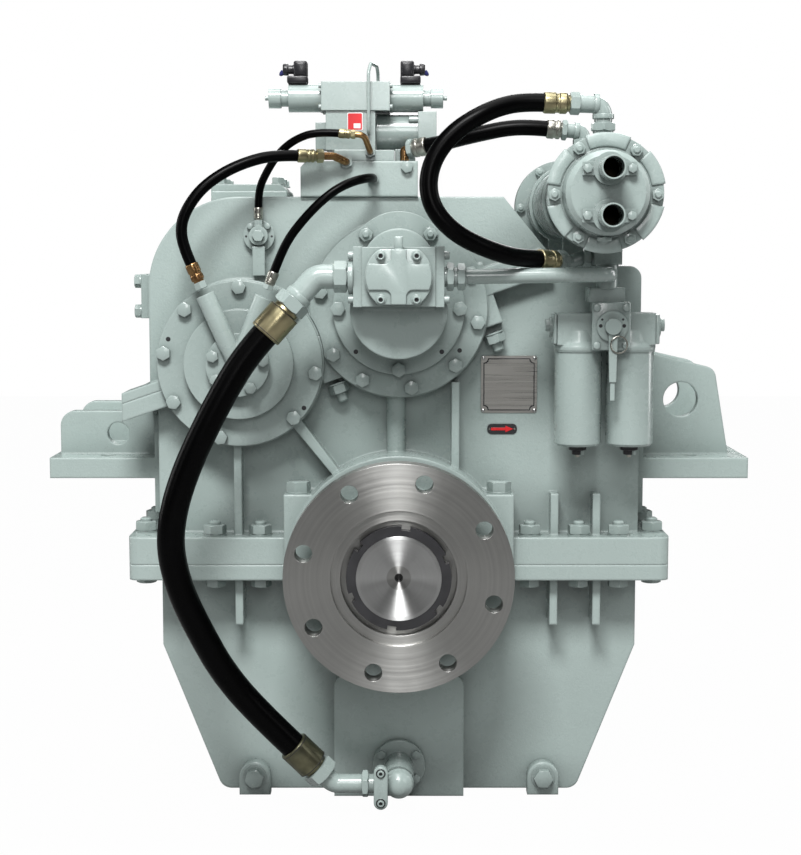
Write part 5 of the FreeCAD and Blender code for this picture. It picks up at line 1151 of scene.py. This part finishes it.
def make_cooler_details():
    """Raised segments between the cooler's bolts, and its drain cock."""
    shape = Shape()
    steps = 14
    angles = sorted(a % 360 for a in COOLER_BOLTS)
    for first, second in zip(angles, angles[1:] + [angles[0] + 360]):
        a0, a1 = math.radians(first + 11), math.radians(second - 11)
        sweep = [a0 + (a1 - a0) * k / steps for k in range(steps + 1)]
        outline = [(COOLER[0] + 99 * math.cos(a), COOLER[1] + 99 * math.sin(a)) for a in sweep]
        outline += [(COOLER[0] + 76 * math.cos(a), COOLER[1] + 76 * math.sin(a)) for a in reversed(sweep)]
        shape.plate(outline, -58.5, -55.5, 0, 1.0)
    x, z = 338.0, 580.0
    shape.lathe([(0, 0), (0, 8), (7, 8), (7, 5), (16, 5), (16, 0)], (x, -56.5, z), FRONT, 0, 24, 0.6)
    shape.block((x - 12, x + 12), (-71, -65), (z - 3, z + 4), 1.6, 2)
    shape.make("cooler_flange_segments", [CAST])


def make_filter_details():
    """The filter's dial plate, end caps, plugs and drains, and the ring of its locking pin."""
    shape = Shape()
    shape.block((334, 401), (58, 66), (390, 474), 3.0, 3)
    for x, z in ((342.0, 464.5), (393.0, 464.5), (342.0, 399.0), (393.0, 399.0)):
        shape.drum(0, 0.8, 6.6, (x, 58, z), FRONT, 0, 24)
        shape.hexagon((x, 57.4, z), FRONT, 12, 5.5)
    for facing, inner, outer in ((LEFT, 276.5, 270), (RIGHT, 447.5, 455)):
        shape.block(tuple(sorted((inner, outer))), (80, 144), (400, 452), 2.4, 2)
        shape.lathe([(0, 0), (0, 14), (5, 14), (5, 11), (12, 11), (12, 0)], (outer, 112, 432),
                    facing, 0, 28, 0.7)
    for x in (316.5, 407.5):
        shape.lathe([(-12, 41.5), (-12, 43.4), (0, 43.4), (0, 41.5)], (x, 110, 398), UP, 0, 56, 0.8)
        shape.hexagon((x, 110, 221), DOWN, 30, 10, 1, True)
        shape.hexagon((x, 110, 212), DOWN, 19, 9, 1, True)
        shape.lathe([(0, 0), (0, 5), (5, 4), (6, 0)], (x, 110, 203.5), DOWN, 2, 20)
    shape.make("filter_plate_and_plugs", [SMOOTH, BLACKED, SILVER])
    # Black discs as painted shade in the dial's holes and slots.
    hole_shade_discs("dial_holes", [((x, 52.9, 444.0), FRONT) for x in (351.0, 387.0)], 2.0)
    hole_shade_discs("dial_slots", [((x, 52.9, 433.0), FRONT) for x in (348.5, 389.0)], 3.2)
    ring = Shape()
    line = []
    for k in range(33):
        a = 2 * math.pi * k / 32
        line.append(Vector((379 + 14.5 * math.cos(a), 41.0 + 1.5 * math.cos(a), 401 + 14.5 * math.sin(a))))
    ring.tube(line, 1.3, 0, 10)
    ring.make("locking_ring", [SILVER], body="filter_lever")


def make_connectors():
    """The two black plugs on the solenoids with their cable glands and blue wire ends."""
    shape = Shape()
    for side, root in ((-1, -164.5), (1, 2.5)):
        for near, far, y, z, ease, steps in (
                (0, 37, (222, 254), (862.6, 876), 3.0, 3),
                (0.5, 25, (222.5, 253.5), (873, 902.6), 3.6, 3),
                (4, 21, (220.9, 224), (878, 898), 1.2, 2)):
            x = tuple(sorted((root + side * near, root + side * far)))
            shape.block(x, y, z, ease, steps)
        shape.lathe([(0, 0), (0, 9), (3, 9), (3, 8), (11, 8), (11, 10.4), (14, 10.8), (19, 10.4), (21, 9),
                     (21, 0)], (root + side * 24, 238, 888), (side, 0, 0), 0, 28, 0.5)
        shape.drum(0, 0.6, 3.5, (root + side * 13, 238, 902.3), UP, 1, 18)
        shape.lathe([(0, 0), (0, 5), (5, 4.4), (9, 2.4), (10, 0)], (root + side * 44, 236, 884),
                    (side * 0.7, -0.1, -0.7), 2, 14)
    shape.make("solenoid_connectors", [BLACK, SILVER, BLUE], replaces=["solenoid_plugs"])


def make_valve_label():
    """A bare red panel with a white border and field where the valve has its label."""
    shape = Shape()
    y = 200.0
    shape.plate(arc_outline(-92.5, -64.5, 776.5, 808.5, 2.5), y - 1.0, y + 0.3, 0, 0.2, 1)
    shape.plate(arc_outline(-91, -66, 778, 807, 2.0), y - 1.3, y - 0.8, 1, 0.0)
    shape.plate(arc_outline(-81, -68.5, 780.5, 789, 0.6, 2), y - 1.6, y - 1.1, 0, 0.0)
    shape.make("bare_red_label", [WHITE, RED])


camera()
make_hoses()
paint_castings()
make_hose_fittings()
make_suction_elbows()
make_oil_pipes()
make_casing_bolts()
make_cover_screws()
make_rear_cover_screws()
make_pump_cover()
make_small_fasteners()
make_sump_lugs()
make_cooler_details()
make_filter_details()
make_connectors()
make_valve_label()
make_plates()
floor_and_light()
